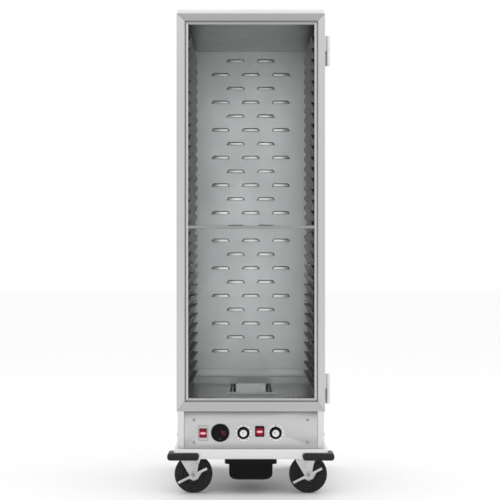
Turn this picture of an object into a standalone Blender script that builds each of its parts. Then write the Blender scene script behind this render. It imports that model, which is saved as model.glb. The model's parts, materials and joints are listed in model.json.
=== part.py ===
"""Mobile heated holding cabinet: aluminium body on four swivel casters, hinged clear door,
corrugated pan slides, louvred air duct, control panel and a condensate pan under the base.

Metres, +Z up. The origin is on the floor, under the middle of the base. The front faces -Y.
"""
import math

import bmesh
import bpy
from mathutils import Vector

# ---------------------------------------------------------------- driving sizes
GAP = 0.0003                   # clearance between pieces that touch
SHEET = 0.002                  # panel sheet

# casters
WHEEL_RADIUS = 0.0685
WHEEL_WIDTH = 0.032
WHEEL_BORE = 0.0065
WHEEL_SEGMENTS = 30            # flats round the tread, one of them on the floor
AXLE_RADIUS = 0.006
HUB_HALF_WIDTH = 0.019
CASTER_TRACK = 0.414           # across, between the wheel centres
CASTER_INSET = 0.070           # from the front or back of the base to the swivel axis
CASTER_TRAIL = 0.012           # from the swivel axis to the axle
CASTER_TURN = {"front": 0.0, "rear": math.radians(90)}   # about the swivel axes, at rest
FORK_SHEET = 0.003
FORK_LEAD = 0.045              # from the axle to the leading edge of the crown
FORK_TRAIL = 0.0255            # from the axle to the trailing edge of the crown
FORK_FOOT_RADIUS = 0.0155
FORK_SHOULDER = (0.024, 0.027)  # depth of the legs' straight edges, trailing and leading
FORK_SIDE_PLAY = 0.0012
CROWN_CLEARANCE = 0.004
CROWN_THICKNESS = 0.004
RACE_HEIGHT = 0.0132
RACE_RADIUS = 0.028
RACE_STEP = 0.004
KINGPIN_RADIUS = 0.006
PLATE_THICKNESS = 0.0042
PLATE_SIZE = (0.068, 0.095)
PLATE_CORNER = 0.006
BOLT_HEAD_RADIUS = 0.0095
BOLT_HEAD_THICKNESS = 0.005
LEVER_THICKNESS = 0.003
LEVER_TILT = math.radians(26.6)
LEVER_REACH_LEFT = 0.062       # from the axle to each end of the bar
LEVER_REACH_RIGHT = 0.054
LEVER_BAR_LOW = -0.007
LEVER_BAR_HIGH = 0.002
LEVER_HUB_RADIUS = 0.012
LEVER_WEB_DEPTH = 0.0215

# base and bumpers
BASE_WIDTH = 0.550
BASE_DEPTH = 0.740
BASE_HEIGHT = 0.035
BASE_CORNER = 0.008
BUMPER_THICKNESS = 0.0227
BUMPER_HEIGHT = 0.0262
BUMPER_DROP = 0.0038           # how far a bumper hangs below the base
BUMPER_FRONT_LENGTH = 0.1125
BUMPER_SIDE_LENGTH = 0.100
BUMPER_EDGE = 0.009
BUMPER_EDGE_STEPS = 2

# body
BODY_WIDTH = 0.526
BODY_DEPTH = 0.710
BODY_SETBACK = 0.025           # from the front of the base to the front of the body
POST_WIDTH = 0.024
POST_RETURN = 0.012
REAR_FLANGE = 0.020
WALL = 0.030                   # from the outer side to the inner side of a wall
HEAD_HEIGHT = 0.049            # from the ceiling to the top of the roof
ROOF_SKIRT = 0.030
COMPARTMENT_HEIGHT = 0.179     # from the base to the cabinet floor
FASCIA_HEIGHT = 0.146
DUCT_DEPTH = 0.040

# slides
LEVELS = 33
PITCH = 0.039
FIRST_LEVEL = 0.052            # from the floor to the lowest ledge
LAST_CLEARANCE = 0.046         # from the highest ledge to the ceiling
LEDGE = 0.018
LEDGE_NOSE = 0.003
WALL_FLAT = 0.005
SLIDE_SHEET = 0.0015
RACK_SETBACK = 0.015

# air duct
LOUVRE_WIDTH = 0.075
LOUVRE_TOP_WIDTH = 0.059
LOUVRE_HEIGHT = 0.012
LOUVRE_DEPTH = 0.010
LOUVRE_SHEET = 0.001
LOUVRE_ROWS = 22
LOUVRE_SPACING = 0.122
LOUVRE_TOP_MARGIN = 0.036
BAFFLE_GAP = 0.061             # air gap between the floor and the baffle
FLOOR_UPSTAND = 0.026

# water pan and floor
WATER_PAN_WIDTH = 0.142
WATER_PAN_LENGTH = 0.480
WATER_PAN_DEPTH = 0.060
WATER_PAN_WALL = 0.0015
WATER_PAN_FRONT = 0.150        # from the front of the body to the pan
WATER_PAN_RIM = 0.015
WATER_PAN_LIP = 0.0095
STEAM_SLOT = 0.008
INTAKE_SLOT = (0.009, 0.030)
INTAKE_SLOTS = 4                # on each side
INTAKE_SLOT_PITCH = 0.020
INTAKE_SLOT_EDGE = 0.038       # from the slides' wall to the middle of the nearest slot
INTAKE_SLOT_SETBACK = 0.053

# condensate pan
DRIP_PAN_WIDTH = 0.157
DRIP_PAN_LENGTH = 0.320
DRIP_PAN_DEPTH = 0.061
DRIP_PAN_WALL = 0.0025
DRIP_PAN_FLOOR_RADIUS = 0.025
DRIP_RIM_WIDTH = 0.0135
DRIP_RIM_HEIGHT = 0.017
RUNNER_LEDGE = 0.012
RUNNER_SHEET = 0.0018
RUNNER_FLANGE = 0.015

# door
DOOR_BOTTOM = 0.136            # from the base deck
DOOR_TOP_DROP = 0.020          # from the roof
DOOR_WIDTH = 0.529
DOOR_THICKNESS = 0.0285
DOOR_STANDOFF = 0.0065         # from the body to the back of the door
STILE_LEFT = 0.0275            # from the side of the body in to the stile's groove
STILE_RIGHT = 0.0235
RAIL_TOP = 0.0265
RAIL_BOTTOM = 0.034
GROOVE = 0.005
GROOVE_DEPTH = 0.006
BEAD = 0.0075
BEAD_SETBACK = 0.002
PANE_THICKNESS = 0.005
PANE_SETBACK = 0.010
PANE_CLEARANCE = 0.0005
PANE_BITE = 0.009
GLAZING_BAR_HEIGHT = 0.010
GLAZING_BAR_BITE = 0.0035
GLAZING_BAR_LEVEL = 0.614      # above the floor of the cabinet
GASKET_WIDTH = 0.016
GASKET_INSET = 0.0055          # from the top and bottom of the door
GASKET_SIDE = 0.004            # from the side of the body
GASKET_TAPER = 0.003
GASKET_CORNER = 0.020
FRAME_BACK_STEP = 0.0055       # chamfer at the back of a frame member, towards the pane

# hinges
HINGE_HEIGHT = 0.107
HINGE_END_LOWER = 0.080        # from the bottom of the door to the middle of the lower hinge
HINGE_END_UPPER = 0.131        # from the top of the door to the middle of the upper hinge
KNUCKLE_RADIUS = 0.0065
HINGE_GAP = 0.005
HINGE_AXIS_SETBACK = 0.0225
HINGE_PIN_RADIUS = 0.003
HINGE_PIN_LENGTH = 0.040
HINGE_LEAF = 0.002
HINGE_LEAF_DEPTH = 0.018
HINGE_ARM = 0.004
HINGE_BODY_LEAF = 0.045

# controls on the fascia: x, height above the base deck
POWER_SWITCH = (-0.171, 0.0555)
DISPLAY = (-0.110, 0.0560)
TEMPERATURE_KNOB = (-0.0265, 0.0560)
MODE_SWITCH = (0.032, 0.0610)
HUMIDITY_KNOB = (0.089, 0.0560)
ROCKER_SIZE = (0.0262, 0.0304)
ROCKER_TILT = math.radians(7)
ROCKER_PLAY = 0.0004
ROCKER_SWING_PLAY = 0.0012
BEZEL_THICKNESS = 0.0025
BEZEL_POCKET = 0.014
BEZEL_WALL = 0.0015
POWER_BEZEL = (0.034, 0.052)
MODE_BEZEL = (0.0325, 0.0380)
DISPLAY_RADIUS = 0.0325
DISPLAY_BARREL = 0.0290
DISPLAY_DEPTH = 0.045
KNOB_SKIRT = 0.0225
KNOB_RADIUS = 0.0165
KNOB_HEIGHT = 0.018
KNOB_STANDOFF = 0.0015
SHAFT_RADIUS = 0.003
SHAFT_LENGTH = 0.0125
CONTROL_BODY = (0.036, 0.028, 0.034)

# heater, fan and power inlet
ELEMENT_RADIUS = 0.004
ELEMENT_WIDTH = 0.110
ELEMENT_LENGTH = 0.300
ELEMENT_HEIGHT = 0.090
ELEMENT_BEND = 0.030
ELEMENT_SETBACK = 0.060        # from the fan motor to the element's feet
MOTOR_RADIUS = 0.032
MOTOR_LENGTH = 0.042
MOTOR_HEIGHT = 0.062
MOTOR_SHAFT = 0.004
MOTOR_SHAFT_LENGTH = 0.022
IMPELLER_RADIUS = 0.042
IMPELLER_HUB = 0.014
IMPELLER_WIDTH = 0.014
IMPELLER_BLADES = 7
INLET_PLACE = (0.170, 0.060)
INLET_SIZE = (0.050, 0.032)
INLET_BODY = (0.032, 0.024)
INLET_SOCKET = (0.026, 0.017)
INLET_DEPTH = 0.022

# ---------------------------------------------------------------- levels and planes
CROWN_UNDER = 2 * WHEEL_RADIUS + CROWN_CLEARANCE
CROWN_TOP = CROWN_UNDER + CROWN_THICKNESS
RACE_TOP = CROWN_TOP + RACE_HEIGHT
PLATE_UNDER = RACE_TOP + GAP
PLATE_TOP = PLATE_UNDER + PLATE_THICKNESS
DECK_UNDER = PLATE_TOP + GAP
DECK_TOP = DECK_UNDER + SHEET
BASE_UNDER = DECK_TOP - BASE_HEIGHT

BASE_X = BASE_WIDTH / 2
BASE_Y = BASE_DEPTH / 2
BODY_X = BODY_WIDTH / 2
FRONT_Y = -BASE_Y + BODY_SETBACK
REAR_Y = FRONT_Y + BODY_DEPTH
LINER_X = BODY_X - WALL
LEDGE_X = LINER_X - LEDGE

FLOOR_TOP = DECK_TOP + COMPARTMENT_HEIGHT
FASCIA_UNDER = DECK_TOP + GAP
FASCIA_TOP = FASCIA_UNDER + FASCIA_HEIGHT
CEILING_UNDER = FLOOR_TOP + FIRST_LEVEL + (LEVELS - 1) * PITCH + LAST_CLEARANCE
ROOF_TOP = CEILING_UNDER + HEAD_HEIGHT
ROOF_UNDER = ROOF_TOP - ROOF_SKIRT
BAFFLE_Y = REAR_Y - DUCT_DEPTH

DOOR_X = DOOR_WIDTH / 2
LEFT_STILE_WIDTH = DOOR_X - BODY_X + STILE_LEFT
RIGHT_STILE_WIDTH = DOOR_X - BODY_X + STILE_RIGHT
DOOR_BACK_Y = FRONT_Y - DOOR_STANDOFF
DOOR_FRONT_Y = DOOR_BACK_Y - DOOR_THICKNESS
DOOR_Z0 = DECK_TOP + DOOR_BOTTOM
DOOR_Z1 = ROOF_TOP - DOOR_TOP_DROP
PANE_EDGE = GROOVE + BEAD
HINGE_X = DOOR_X + HINGE_GAP + KNUCKLE_RADIUS
HINGE_Y = DOOR_FRONT_Y + HINGE_AXIS_SETBACK


# ---------------------------------------------------------------- shapes
def clear_scene():
    for thing in list(bpy.data.objects):
        bpy.data.objects.remove(thing)


def make_material(name, colour, roughness, metallic=0.0, transmission=0.0):
    material = bpy.data.materials.new(name)
    material.use_nodes = True
    shader = material.node_tree.nodes["Principled BSDF"]
    shader.inputs["Base Color"].default_value = (*colour, 1.0)
    shader.inputs["Roughness"].default_value = roughness
    shader.inputs["Metallic"].default_value = metallic
    shader.inputs["Transmission Weight"].default_value = transmission
    return material


def to_3d(axis, a, b, level):
    """A point of a flat outline, at a level along the axis that the outline is square to."""
    return {"X": (level, a, b), "Y": (a, level, b), "Z": (a, b, level)}[axis]


def add_object(name, vertices, faces, material, smooth_angle=None):
    mesh = bpy.data.meshes.new(name)
    mesh.from_pydata(vertices, [], faces)
    shell = bmesh.new()
    shell.from_mesh(mesh)
    bmesh.ops.recalc_face_normals(shell, faces=shell.faces)
    shell.to_mesh(mesh)
    shell.free()
    if smooth_angle is not None:
        mesh.shade_smooth()
        mesh.set_sharp_from_angle(angle=smooth_angle)
    mesh.materials.append(material)
    thing = bpy.data.objects.new(name, mesh)
    bpy.context.collection.objects.link(thing)
    return thing


def loft(name, loops, material, closed=False, smooth_angle=None):
    """Joins loops of equally many points. A closed loft has no caps: its last loop meets its first."""
    count = len(loops[0])
    vertices = [point for loop in loops for point in loop]
    faces = []
    steps = len(loops) if closed else len(loops) - 1
    for step in range(steps):
        low = step * count
        high = (step + 1) % len(loops) * count
        for i in range(count):
            j = (i + 1) % count
            faces.append((low + i, low + j, high + j, high + i))
    if not closed:
        faces.append(tuple(range(count)))
        faces.append(tuple(range(len(vertices) - count, len(vertices))))
    return add_object(name, vertices, faces, material, smooth_angle)


def prism(name, outline, axis, start, stop, material, smooth_angle=None):
    loops = [[to_3d(axis, a, b, level) for a, b in outline] for level in (start, stop)]
    return loft(name, loops, material, smooth_angle=smooth_angle)


def block(name, low, high, material):
    outline = [(low[0], low[1]), (high[0], low[1]), (high[0], high[1]), (low[0], high[1])]
    return prism(name, outline, "Z", low[2], high[2], material)


def offset_path(path, distance):
    """Moves an open path to its left by a distance, with mitred corners."""
    points = [Vector(point) for point in path]
    runs = [(b - a).normalized() for a, b in zip(points, points[1:])]
    moved = []
    for i, point in enumerate(points):
        before = runs[max(i - 1, 0)]
        after = runs[min(i, len(runs) - 1)]
        left = Vector((-before.y, before.x))
        middle = (left + Vector((-after.y, after.x))).normalized()
        moved.append(point + middle * (distance / middle.dot(left)))
    return [tuple(point) for point in moved]


def bent_sheet(name, path, thickness, axis, start, stop, material):
    """A sheet whose one face follows the path, with its thickness to the path's left."""
    outline = list(path) + offset_path(path, thickness)[::-1]
    return prism(name, outline, axis, start, stop, material)


def rounded_rectangle(half_a, half_b, radius, steps=4, centre=(0.0, 0.0)):
    points = []
    for corner, (side_a, side_b) in enumerate(((1, 1), (-1, 1), (-1, -1), (1, -1))):
        for step in range(steps + 1):
            angle = math.radians(90 * (corner + step / steps))
            a = centre[0] + side_a * (half_a - radius) + radius * math.cos(angle)
            b = centre[1] + side_b * (half_b - radius) + radius * math.sin(angle)
            points.append((a, b))
    return points


def tray(name, loops, axis, material, centre=(0.0, 0.0), steps=4):
    """A thin shell through rounded rectangles, each (half_a, half_b, radius, level)."""
    rings = []
    for half_a, half_b, radius, level in loops:
        outline = rounded_rectangle(half_a, half_b, radius, steps, centre)
        rings.append([to_3d(axis, a, b, level) for a, b in outline])
    return loft(name, rings, material)


def turned(name, profile, axis, centre, material, segments=32, bored=False, smooth_angle=0.6):
    """Turns (radius, level) points about an axis; a bored profile is a closed loop off the axis."""
    loops = []
    for radius, level in profile:
        loop = []
        for step in range(segments):
            angle = 2 * math.pi * (step + 0.5) / segments - math.pi / 2
            a = centre[0] + radius * math.cos(angle)
            b = centre[1] + radius * math.sin(angle)
            loop.append(to_3d(axis, a, b, level))
        loops.append(loop)
    return loft(name, loops, material, closed=bored, smooth_angle=smooth_angle)


def arc(centre, radius, start, stop, steps):
    """Points along an arc, with its angles in degrees."""
    points = []
    for step in range(steps + 1):
        angle = math.radians(start + (stop - start) * step / steps)
        points.append((centre[0] + radius * math.cos(angle), centre[1] + radius * math.sin(angle)))
    return points


def apply_boolean(target, tools, operation):
    """Keeps one Boolean modifier for each tool, and marks the tools as guides."""
    for tool in tools:
        tool.hide_render = True
        tool.display_type = "WIRE"
        modifier = target.modifiers.new(tool.name, "BOOLEAN")
        modifier.operation = operation
        modifier.solver = "EXACT"
        modifier.object = tool


def cut(target, *tools):
    apply_boolean(target, tools, "DIFFERENCE")


def fuse(target, *tools):
    apply_boolean(target, tools, "UNION")


def join_bodies(name, bodies, material):
    """One mesh of several separate bodies, to be used as a single Boolean tool."""
    vertices = []
    faces = []
    for body in bodies:
        first = len(vertices)
        vertices += [tuple(vertex.co) for vertex in body.data.vertices]
        faces += [tuple(first + i for i in polygon.vertices) for polygon in body.data.polygons]
        bpy.data.objects.remove(body)
    return add_object(name, vertices, faces, material)


def add_axis(name, place):
    """An empty on a joint's axis, for the pieces that turn about it."""
    empty = bpy.data.objects.new(name, None)
    empty.location = place
    bpy.context.collection.objects.link(empty)
    return empty


def hang(pieces, empty):
    """Gives each piece an origin on the empty's axis and the empty as its parent."""
    place = empty.location
    for piece in pieces:
        for vertex in piece.data.vertices:
            vertex.co -= place
        piece.parent = empty


# ---------------------------------------------------------------- base
def build_base():
    under = BASE_UNDER
    loops = [
        (BASE_X - SHEET, BASE_Y - SHEET, BASE_CORNER - SHEET, DECK_UNDER),
        (BASE_X - SHEET, BASE_Y - SHEET, BASE_CORNER - SHEET, under),
        (BASE_X, BASE_Y, BASE_CORNER, under),
        (BASE_X, BASE_Y, BASE_CORNER, DECK_TOP - SHEET),
        (BASE_X - SHEET / 2, BASE_Y - SHEET / 2, BASE_CORNER - SHEET / 2, DECK_TOP),
    ]
    tray("base_chassis", loops, "Z", ALUMINIUM)


def build_bumper(name, side_x, side_y):
    """An L-shaped rubber corner, with round ends and a round outer corner."""
    inner_x = BASE_X + GAP
    inner_y = BASE_Y + GAP
    outer_x = inner_x + BUMPER_THICKNESS
    outer_y = inner_y + BUMPER_THICKNESS
    end_x = outer_x - BUMPER_FRONT_LENGTH
    end_y = outer_y - BUMPER_SIDE_LENGTH
    nose = BUMPER_THICKNESS * 0.45
    outline = [(inner_x, inner_y), (end_x, inner_y)]
    outline += arc((end_x + nose, outer_y - nose), nose, 180, 90, 4)
    outline += arc((outer_x - nose, outer_y - nose), nose, 90, 0, 4)
    outline += arc((outer_x - nose, end_y + nose), nose, 0, -90, 4)
    outline += [(inner_x, end_y)]
    outline = [(side_x * x, side_y * y) for x, y in outline]
    low = BASE_UNDER - BUMPER_DROP
    bumper = prism(name, outline, "Z", low, low + BUMPER_HEIGHT, RUBBER)
    edge = bumper.modifiers.new("round edges", "BEVEL")
    edge.width = BUMPER_EDGE
    edge.segments = BUMPER_EDGE_STEPS
    edge.limit_method = "WEIGHT"
    mark_outer_edges(bumper, inner_x, inner_y)


def mark_outer_edges(bumper, inner_x, inner_y):
    """Marks the level edges away from the base, which the Bevel then rounds."""
    mesh = bumper.data
    weights = mesh.attributes.new("bevel_weight_edge", "FLOAT", "EDGE")
    for edge in mesh.edges:
        ends = [mesh.vertices[i].co for i in edge.vertices]
        level = abs(ends[0].z - ends[1].z) < GAP
        inside_x = all(abs(end.x) < inner_x + GAP for end in ends)
        inside_y = all(abs(end.y) < inner_y + GAP for end in ends)
        weights.data[edge.index].value = 1.0 if level and not (inside_x and inside_y) else 0.0


# ---------------------------------------------------------------- casters
def fork_half_width():
    return HUB_HALF_WIDTH + FORK_SIDE_PLAY + FORK_SHEET


def build_caster_plate(name, x, y):
    half_x, half_y = PLATE_SIZE[0] / 2, PLATE_SIZE[1] / 2
    loops = [(half_x, half_y, PLATE_CORNER, level) for level in (PLATE_UNDER, PLATE_TOP)]
    plate = tray(name, loops, "Z", STEEL, centre=(x, y))
    hole = turned(name + "_hole", [(KINGPIN_RADIUS + GAP * 2, PLATE_UNDER - SHEET),
                                   (KINGPIN_RADIUS + GAP * 2, PLATE_TOP + SHEET)],
                  "Z", (x, y), STEEL, segments=12)
    cut(plate, hole)


def fork_leg_outline():
    """A leg seen from the side, with the axle at (0, 0)."""
    top = CROWN_TOP - WHEEL_RADIUS
    trail_drop, lead_drop = FORK_SHOULDER
    outline = [(-FORK_LEAD, top), (FORK_TRAIL, top), (FORK_TRAIL, top - trail_drop),
               (1.2 * FORK_FOOT_RADIUS, top - 1.75 * trail_drop)]
    outline += arc((0.0, 0.0), FORK_FOOT_RADIUS, 25, -180, 7)
    outline += [(-FORK_LEAD, top - lead_drop)]
    return outline


def build_fork(name, swivel_x, swivel_y, with_lever):
    """Crown, race, kingpin, two legs and the axle bolt: they turn together about the swivel axis."""
    axle_x = swivel_x + CASTER_TRAIL
    half = fork_half_width()
    outline = [(axle_x + x, WHEEL_RADIUS + z) for x, z in fork_leg_outline()]
    fork = prism(name, outline, "Y", swivel_y - half, swivel_y - half + FORK_SHEET, STEEL)
    leg = prism(name + "_leg", outline, "Y", swivel_y + half - FORK_SHEET, swivel_y + half, STEEL)
    left = outline[0][0]
    right = outline[1][0]
    crown = block(name + "_crown", (left, swivel_y - half, CROWN_UNDER),
                  (right, swivel_y + half, CROWN_TOP), STEEL)
    swivel = (swivel_x, swivel_y)
    race = turned(name + "_race", [(RACE_RADIUS, CROWN_TOP - SHEET), (RACE_RADIUS, CROWN_TOP + RACE_STEP),
                                   (RACE_RADIUS - FORK_SHEET, RACE_TOP)], "Z", swivel, STEEL, segments=20)
    pin_outline = [(KINGPIN_RADIUS, RACE_TOP - SHEET), (KINGPIN_RADIUS, PLATE_TOP - SHEET / 2)]
    pin = turned(name + "_kingpin", pin_outline, "Z", swivel, STEEL, segments=12)
    lever_room = LEVER_THICKNESS + 2 * GAP if with_lever else 0.0
    front = swivel_y - half - lever_room
    back = swivel_y + half
    bolt = turned(name + "_axle", [
        (BOLT_HEAD_RADIUS, front - BOLT_HEAD_THICKNESS), (BOLT_HEAD_RADIUS, front),
        (AXLE_RADIUS, front), (AXLE_RADIUS, back - SHEET),
        (BOLT_HEAD_RADIUS, back - SHEET), (BOLT_HEAD_RADIUS, back + BOLT_HEAD_THICKNESS),
    ], "Y", (axle_x, WHEEL_RADIUS), STEEL, segments=16)
    fuse(fork, leg, crown, race, pin, bolt)
    return fork


def build_wheel(name, axle_x, y):
    half = WHEEL_WIDTH / 2
    side = [
        (WHEEL_BORE, HUB_HALF_WIDTH), (0.015, HUB_HALF_WIDTH), (0.018, half - 0.006),
        (WHEEL_RADIUS - 0.026, half - 0.004), (WHEEL_RADIUS - 0.022, half),
        (WHEEL_RADIUS - 0.008, half), (WHEEL_RADIUS, half - 0.007),
    ]
    flats = 1 / math.cos(math.pi / WHEEL_SEGMENTS)
    profile = [(radius * flats, y + level) for radius, level in side]
    profile += [(radius * flats, y - level) for radius, level in reversed(side)]
    return turned(name, profile, "Y", (axle_x, WHEEL_RADIUS), RUBBER, WHEEL_SEGMENTS, bored=True)


def build_lever(name, axle_x, y):
    """A pressed brake lever: a bar with a hub round the axle and a web under its right half."""
    low, high, web = LEVER_BAR_LOW, LEVER_BAR_HIGH, LEVER_WEB_DEPTH
    outline = [(-LEVER_REACH_LEFT, high)] + arc((0.0, 0.0), LEVER_HUB_RADIUS, 170, 10, 6)
    outline += [(LEVER_REACH_RIGHT, high), (LEVER_REACH_RIGHT, low), (0.55 * LEVER_REACH_RIGHT, low),
                (0.35 * web, -web), (-0.45 * web, -0.94 * web), (-0.85 * web, 1.2 * low),
                (-0.4 * LEVER_REACH_LEFT, low), (-LEVER_REACH_LEFT, low)]
    turn = (math.cos(LEVER_TILT), math.sin(LEVER_TILT))
    outline = [(axle_x + u * turn[0] - v * turn[1], WHEEL_RADIUS + u * turn[1] + v * turn[0])
               for u, v in outline]
    back = y - fork_half_width() - GAP
    lever = prism(name, outline, "Y", back - LEVER_THICKNESS, back, STEEL)
    hole = turned(name + "_hole", [(AXLE_RADIUS + GAP, back - 2 * LEVER_THICKNESS),
                                   (AXLE_RADIUS + GAP, back + LEVER_THICKNESS)],
                  "Y", (axle_x, WHEEL_RADIUS), STEEL, segments=16)
    cut(lever, hole)
    return lever, hole


def build_casters():
    for end, side_y in (("front", -1), ("rear", 1)):
        for hand, side_x in (("left", -1), ("right", 1)):
            place = f"{end}_{hand}"
            x = side_x * CASTER_TRACK / 2 - CASTER_TRAIL
            y = side_y * (BASE_Y - CASTER_INSET)
            has_brake = end == "front"
            build_caster_plate(f"caster_plate_{place}", x, y)
            fork = build_fork(f"caster_fork_{place}", x, y, has_brake)
            swivel = add_axis(f"swivel_axis_{place}", (x, y, PLATE_UNDER))
            hang([fork] + [modifier.object for modifier in fork.modifiers], swivel)
            axle_x = x + CASTER_TRAIL
            axle = add_axis(f"axle_{place}", (axle_x, y, WHEEL_RADIUS))
            hang([build_wheel(f"caster_wheel_{place}", axle_x, y)], axle)
            if has_brake:
                hang(build_lever(f"brake_lever_{place}", axle_x, y), axle)
            axle.parent = swivel
            axle.location -= swivel.location
            swivel.rotation_euler.z = CASTER_TURN[end]


# ---------------------------------------------------------------- body shell
def build_side_panel(name, side):
    path = [
        (BODY_X - POST_WIDTH, FRONT_Y + POST_RETURN), (BODY_X - POST_WIDTH, FRONT_Y),
        (BODY_X, FRONT_Y), (BODY_X, REAR_Y), (BODY_X - REAR_FLANGE, REAR_Y),
    ]
    path = [(side * x, y) for x, y in path]
    bent_sheet(name, path, side * SHEET, "Z", DECK_TOP + GAP, ROOF_UNDER - GAP, ALUMINIUM)


def build_roof():
    half_y = (BODY_DEPTH + GAP + SHEET) / 2
    loops = [
        (BODY_X - SHEET, half_y - SHEET, 0.003, ROOF_TOP - SHEET),
        (BODY_X - SHEET, half_y - SHEET, 0.003, ROOF_UNDER),
        (BODY_X, half_y, 0.005, ROOF_UNDER),
        (BODY_X, half_y, 0.005, ROOF_TOP - SHEET),
        (BODY_X - SHEET / 2, half_y - SHEET / 2, 0.004, ROOF_TOP),
    ]
    tray("top_panel", loops, "Z", ALUMINIUM, centre=(0.0, FRONT_Y + half_y))


def build_rear_panel():
    rear = REAR_Y + GAP
    panel = block("rear_panel", (-BODY_X, rear, DECK_TOP + GAP),
                  (BODY_X, rear + SHEET, ROOF_UNDER - GAP), ALUMINIUM)
    x, z = INLET_PLACE
    half_x, half_z = INLET_BODY[0] / 2 + GAP, INLET_BODY[1] / 2 + GAP
    hole = block("inlet_hole", (x - half_x, rear - SHEET, DECK_TOP + z - half_z),
                 (x + half_x, rear + 2 * SHEET, DECK_TOP + z + half_z), ALUMINIUM)
    cut(panel, hole)


def build_ceiling():
    path = [(FRONT_Y, ROOF_UNDER - GAP), (FRONT_Y, CEILING_UNDER), (BAFFLE_Y - GAP, CEILING_UNDER)]
    half = LINER_X - GAP
    bent_sheet("ceiling_liner", path, SHEET, "X", -half, half, ALUMINIUM)


def ledge_height(level):
    return FLOOR_TOP + FIRST_LEVEL + level * PITCH


def rack_path(first, last, low, high):
    """Seen from the front: foot flange, ledges with sloping undersides, head flange."""
    flange = BODY_X - SHEET - GAP
    path = [(flange, low), (LINER_X, low)]
    for level in range(first, last + 1):
        ledge = ledge_height(level)
        path += [(LINER_X, max(ledge - PITCH + WALL_FLAT, low + WALL_FLAT)),
                 (LEDGE_X, ledge - LEDGE_NOSE), (LEDGE_X, ledge), (LINER_X, ledge)]
    return path + [(LINER_X, high), (flange, high)]


def build_racks():
    split = LEVELS // 2
    seam = ledge_height(split) + WALL_FLAT * 0.6
    parts = (
        ("lower", 0, split, FLOOR_TOP + GAP, seam - GAP),
        ("upper", split + 1, LEVELS - 1, seam, CEILING_UNDER + SHEET),
    )
    for hand, side in (("left", -1), ("right", 1)):
        for height, first, last, low, high in parts:
            path = [(side * x, z) for x, z in rack_path(first, last, low, high)]
            bent_sheet(f"rack_{hand}_{height}", path, -side * SLIDE_SHEET, "Y",
                       FRONT_Y + RACK_SETBACK, BAFFLE_Y - GAP, ALUMINIUM)


# ---------------------------------------------------------------- air duct
def louvre_places():
    """Rows of three and two louvres in turn, from the top down."""
    top = CEILING_UNDER - LOUVRE_TOP_MARGIN
    bottom = FLOOR_TOP + BAFFLE_GAP + 2 * LOUVRE_TOP_MARGIN
    spacing = (top - bottom) / (LOUVRE_ROWS - 1)
    places = []
    for row in range(LOUVRE_ROWS):
        columns = (-0.5, 0.5) if row % 2 == 0 else (-1, 0, 1)
        places += [(column * LOUVRE_SPACING, top - row * spacing) for column in columns]
    return places


def louvre_wedge(x, z, shrink, back):
    """A hood that leans out towards its lower edge, with slanted ends."""
    half_low = LOUVRE_WIDTH / 2 - shrink
    half_high = LOUVRE_TOP_WIDTH / 2 - shrink
    low = z - LOUVRE_HEIGHT / 2 - (LOUVRE_SHEET if shrink else 0.0)
    high = z + LOUVRE_HEIGHT / 2 - shrink
    out = BAFFLE_Y - LOUVRE_DEPTH + shrink
    loops = [
        [(x - half_low, back, low), (x + half_low, back, low),
         (x + half_high, back, high), (x - half_high, back, high)],
        [(x - half_low + 0.004, out, low), (x + half_low - 0.004, out, low),
         (x + half_high - 0.002, BAFFLE_Y - 0.002, high - 0.001),
         (x - half_high + 0.002, BAFFLE_Y - 0.002, high - 0.001)],
    ]
    return loft("wedge", loops, ALUMINIUM)


def build_baffle():
    half = LINER_X - GAP
    flange = REAR_Y - GAP
    path = [(-half, flange), (-half, BAFFLE_Y), (half, BAFFLE_Y), (half, flange)]
    baffle = bent_sheet("air_baffle", path, SLIDE_SHEET, "Z",
                        FLOOR_TOP + BAFFLE_GAP, CEILING_UNDER - GAP, ALUMINIUM)
    places = louvre_places()
    hoods = [louvre_wedge(x, z, 0.0, BAFFLE_Y + SLIDE_SHEET / 2) for x, z in places]
    hollows = [louvre_wedge(x, z, LOUVRE_SHEET, BAFFLE_Y + 2 * SLIDE_SHEET) for x, z in places]
    fuse(baffle, join_bodies("louvre_hoods", hoods, ALUMINIUM))
    cut(baffle, join_bodies("louvre_hollows", hollows, ALUMINIUM))


# ---------------------------------------------------------------- floor and water pan
def water_pan_y():
    front = FRONT_Y + WATER_PAN_FRONT
    return front, front + WATER_PAN_LENGTH


def build_floor():
    path = [(BAFFLE_Y - GAP, FLOOR_TOP + FLOOR_UPSTAND), (BAFFLE_Y - GAP, FLOOR_TOP),
            (FRONT_Y, FLOOR_TOP), (FRONT_Y, FASCIA_TOP + GAP)]
    half = LINER_X - GAP
    floor = bent_sheet("cabinet_floor", path, SHEET, "X", -half, half, ALUMINIUM)
    pan_front, pan_back = water_pan_y()
    opening_x = WATER_PAN_WIDTH / 2 + STEAM_SLOT
    opening = block("pan_opening", (-opening_x, pan_front - STEAM_SLOT, FLOOR_TOP - 2 * SHEET),
                    (opening_x, pan_back + STEAM_SLOT, FLOOR_TOP + SHEET), ALUMINIUM)
    slots = []
    for i in range(INTAKE_SLOTS):
        x = LINER_X - INTAKE_SLOT_EDGE - i * INTAKE_SLOT_PITCH
        for side in (-1, 1):
            outline = rounded_rectangle(INTAKE_SLOT[0] / 2, INTAKE_SLOT[1] / 2, INTAKE_SLOT[0] * 0.49,
                                        steps=2, centre=(side * x, FRONT_Y + INTAKE_SLOT_SETBACK))
            slots.append(prism("slot", outline, "Z", FLOOR_TOP - 2 * SHEET, FLOOR_TOP + SHEET, ALUMINIUM))
    cut(floor, opening, join_bodies("intake_slots", slots, ALUMINIUM))


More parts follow.
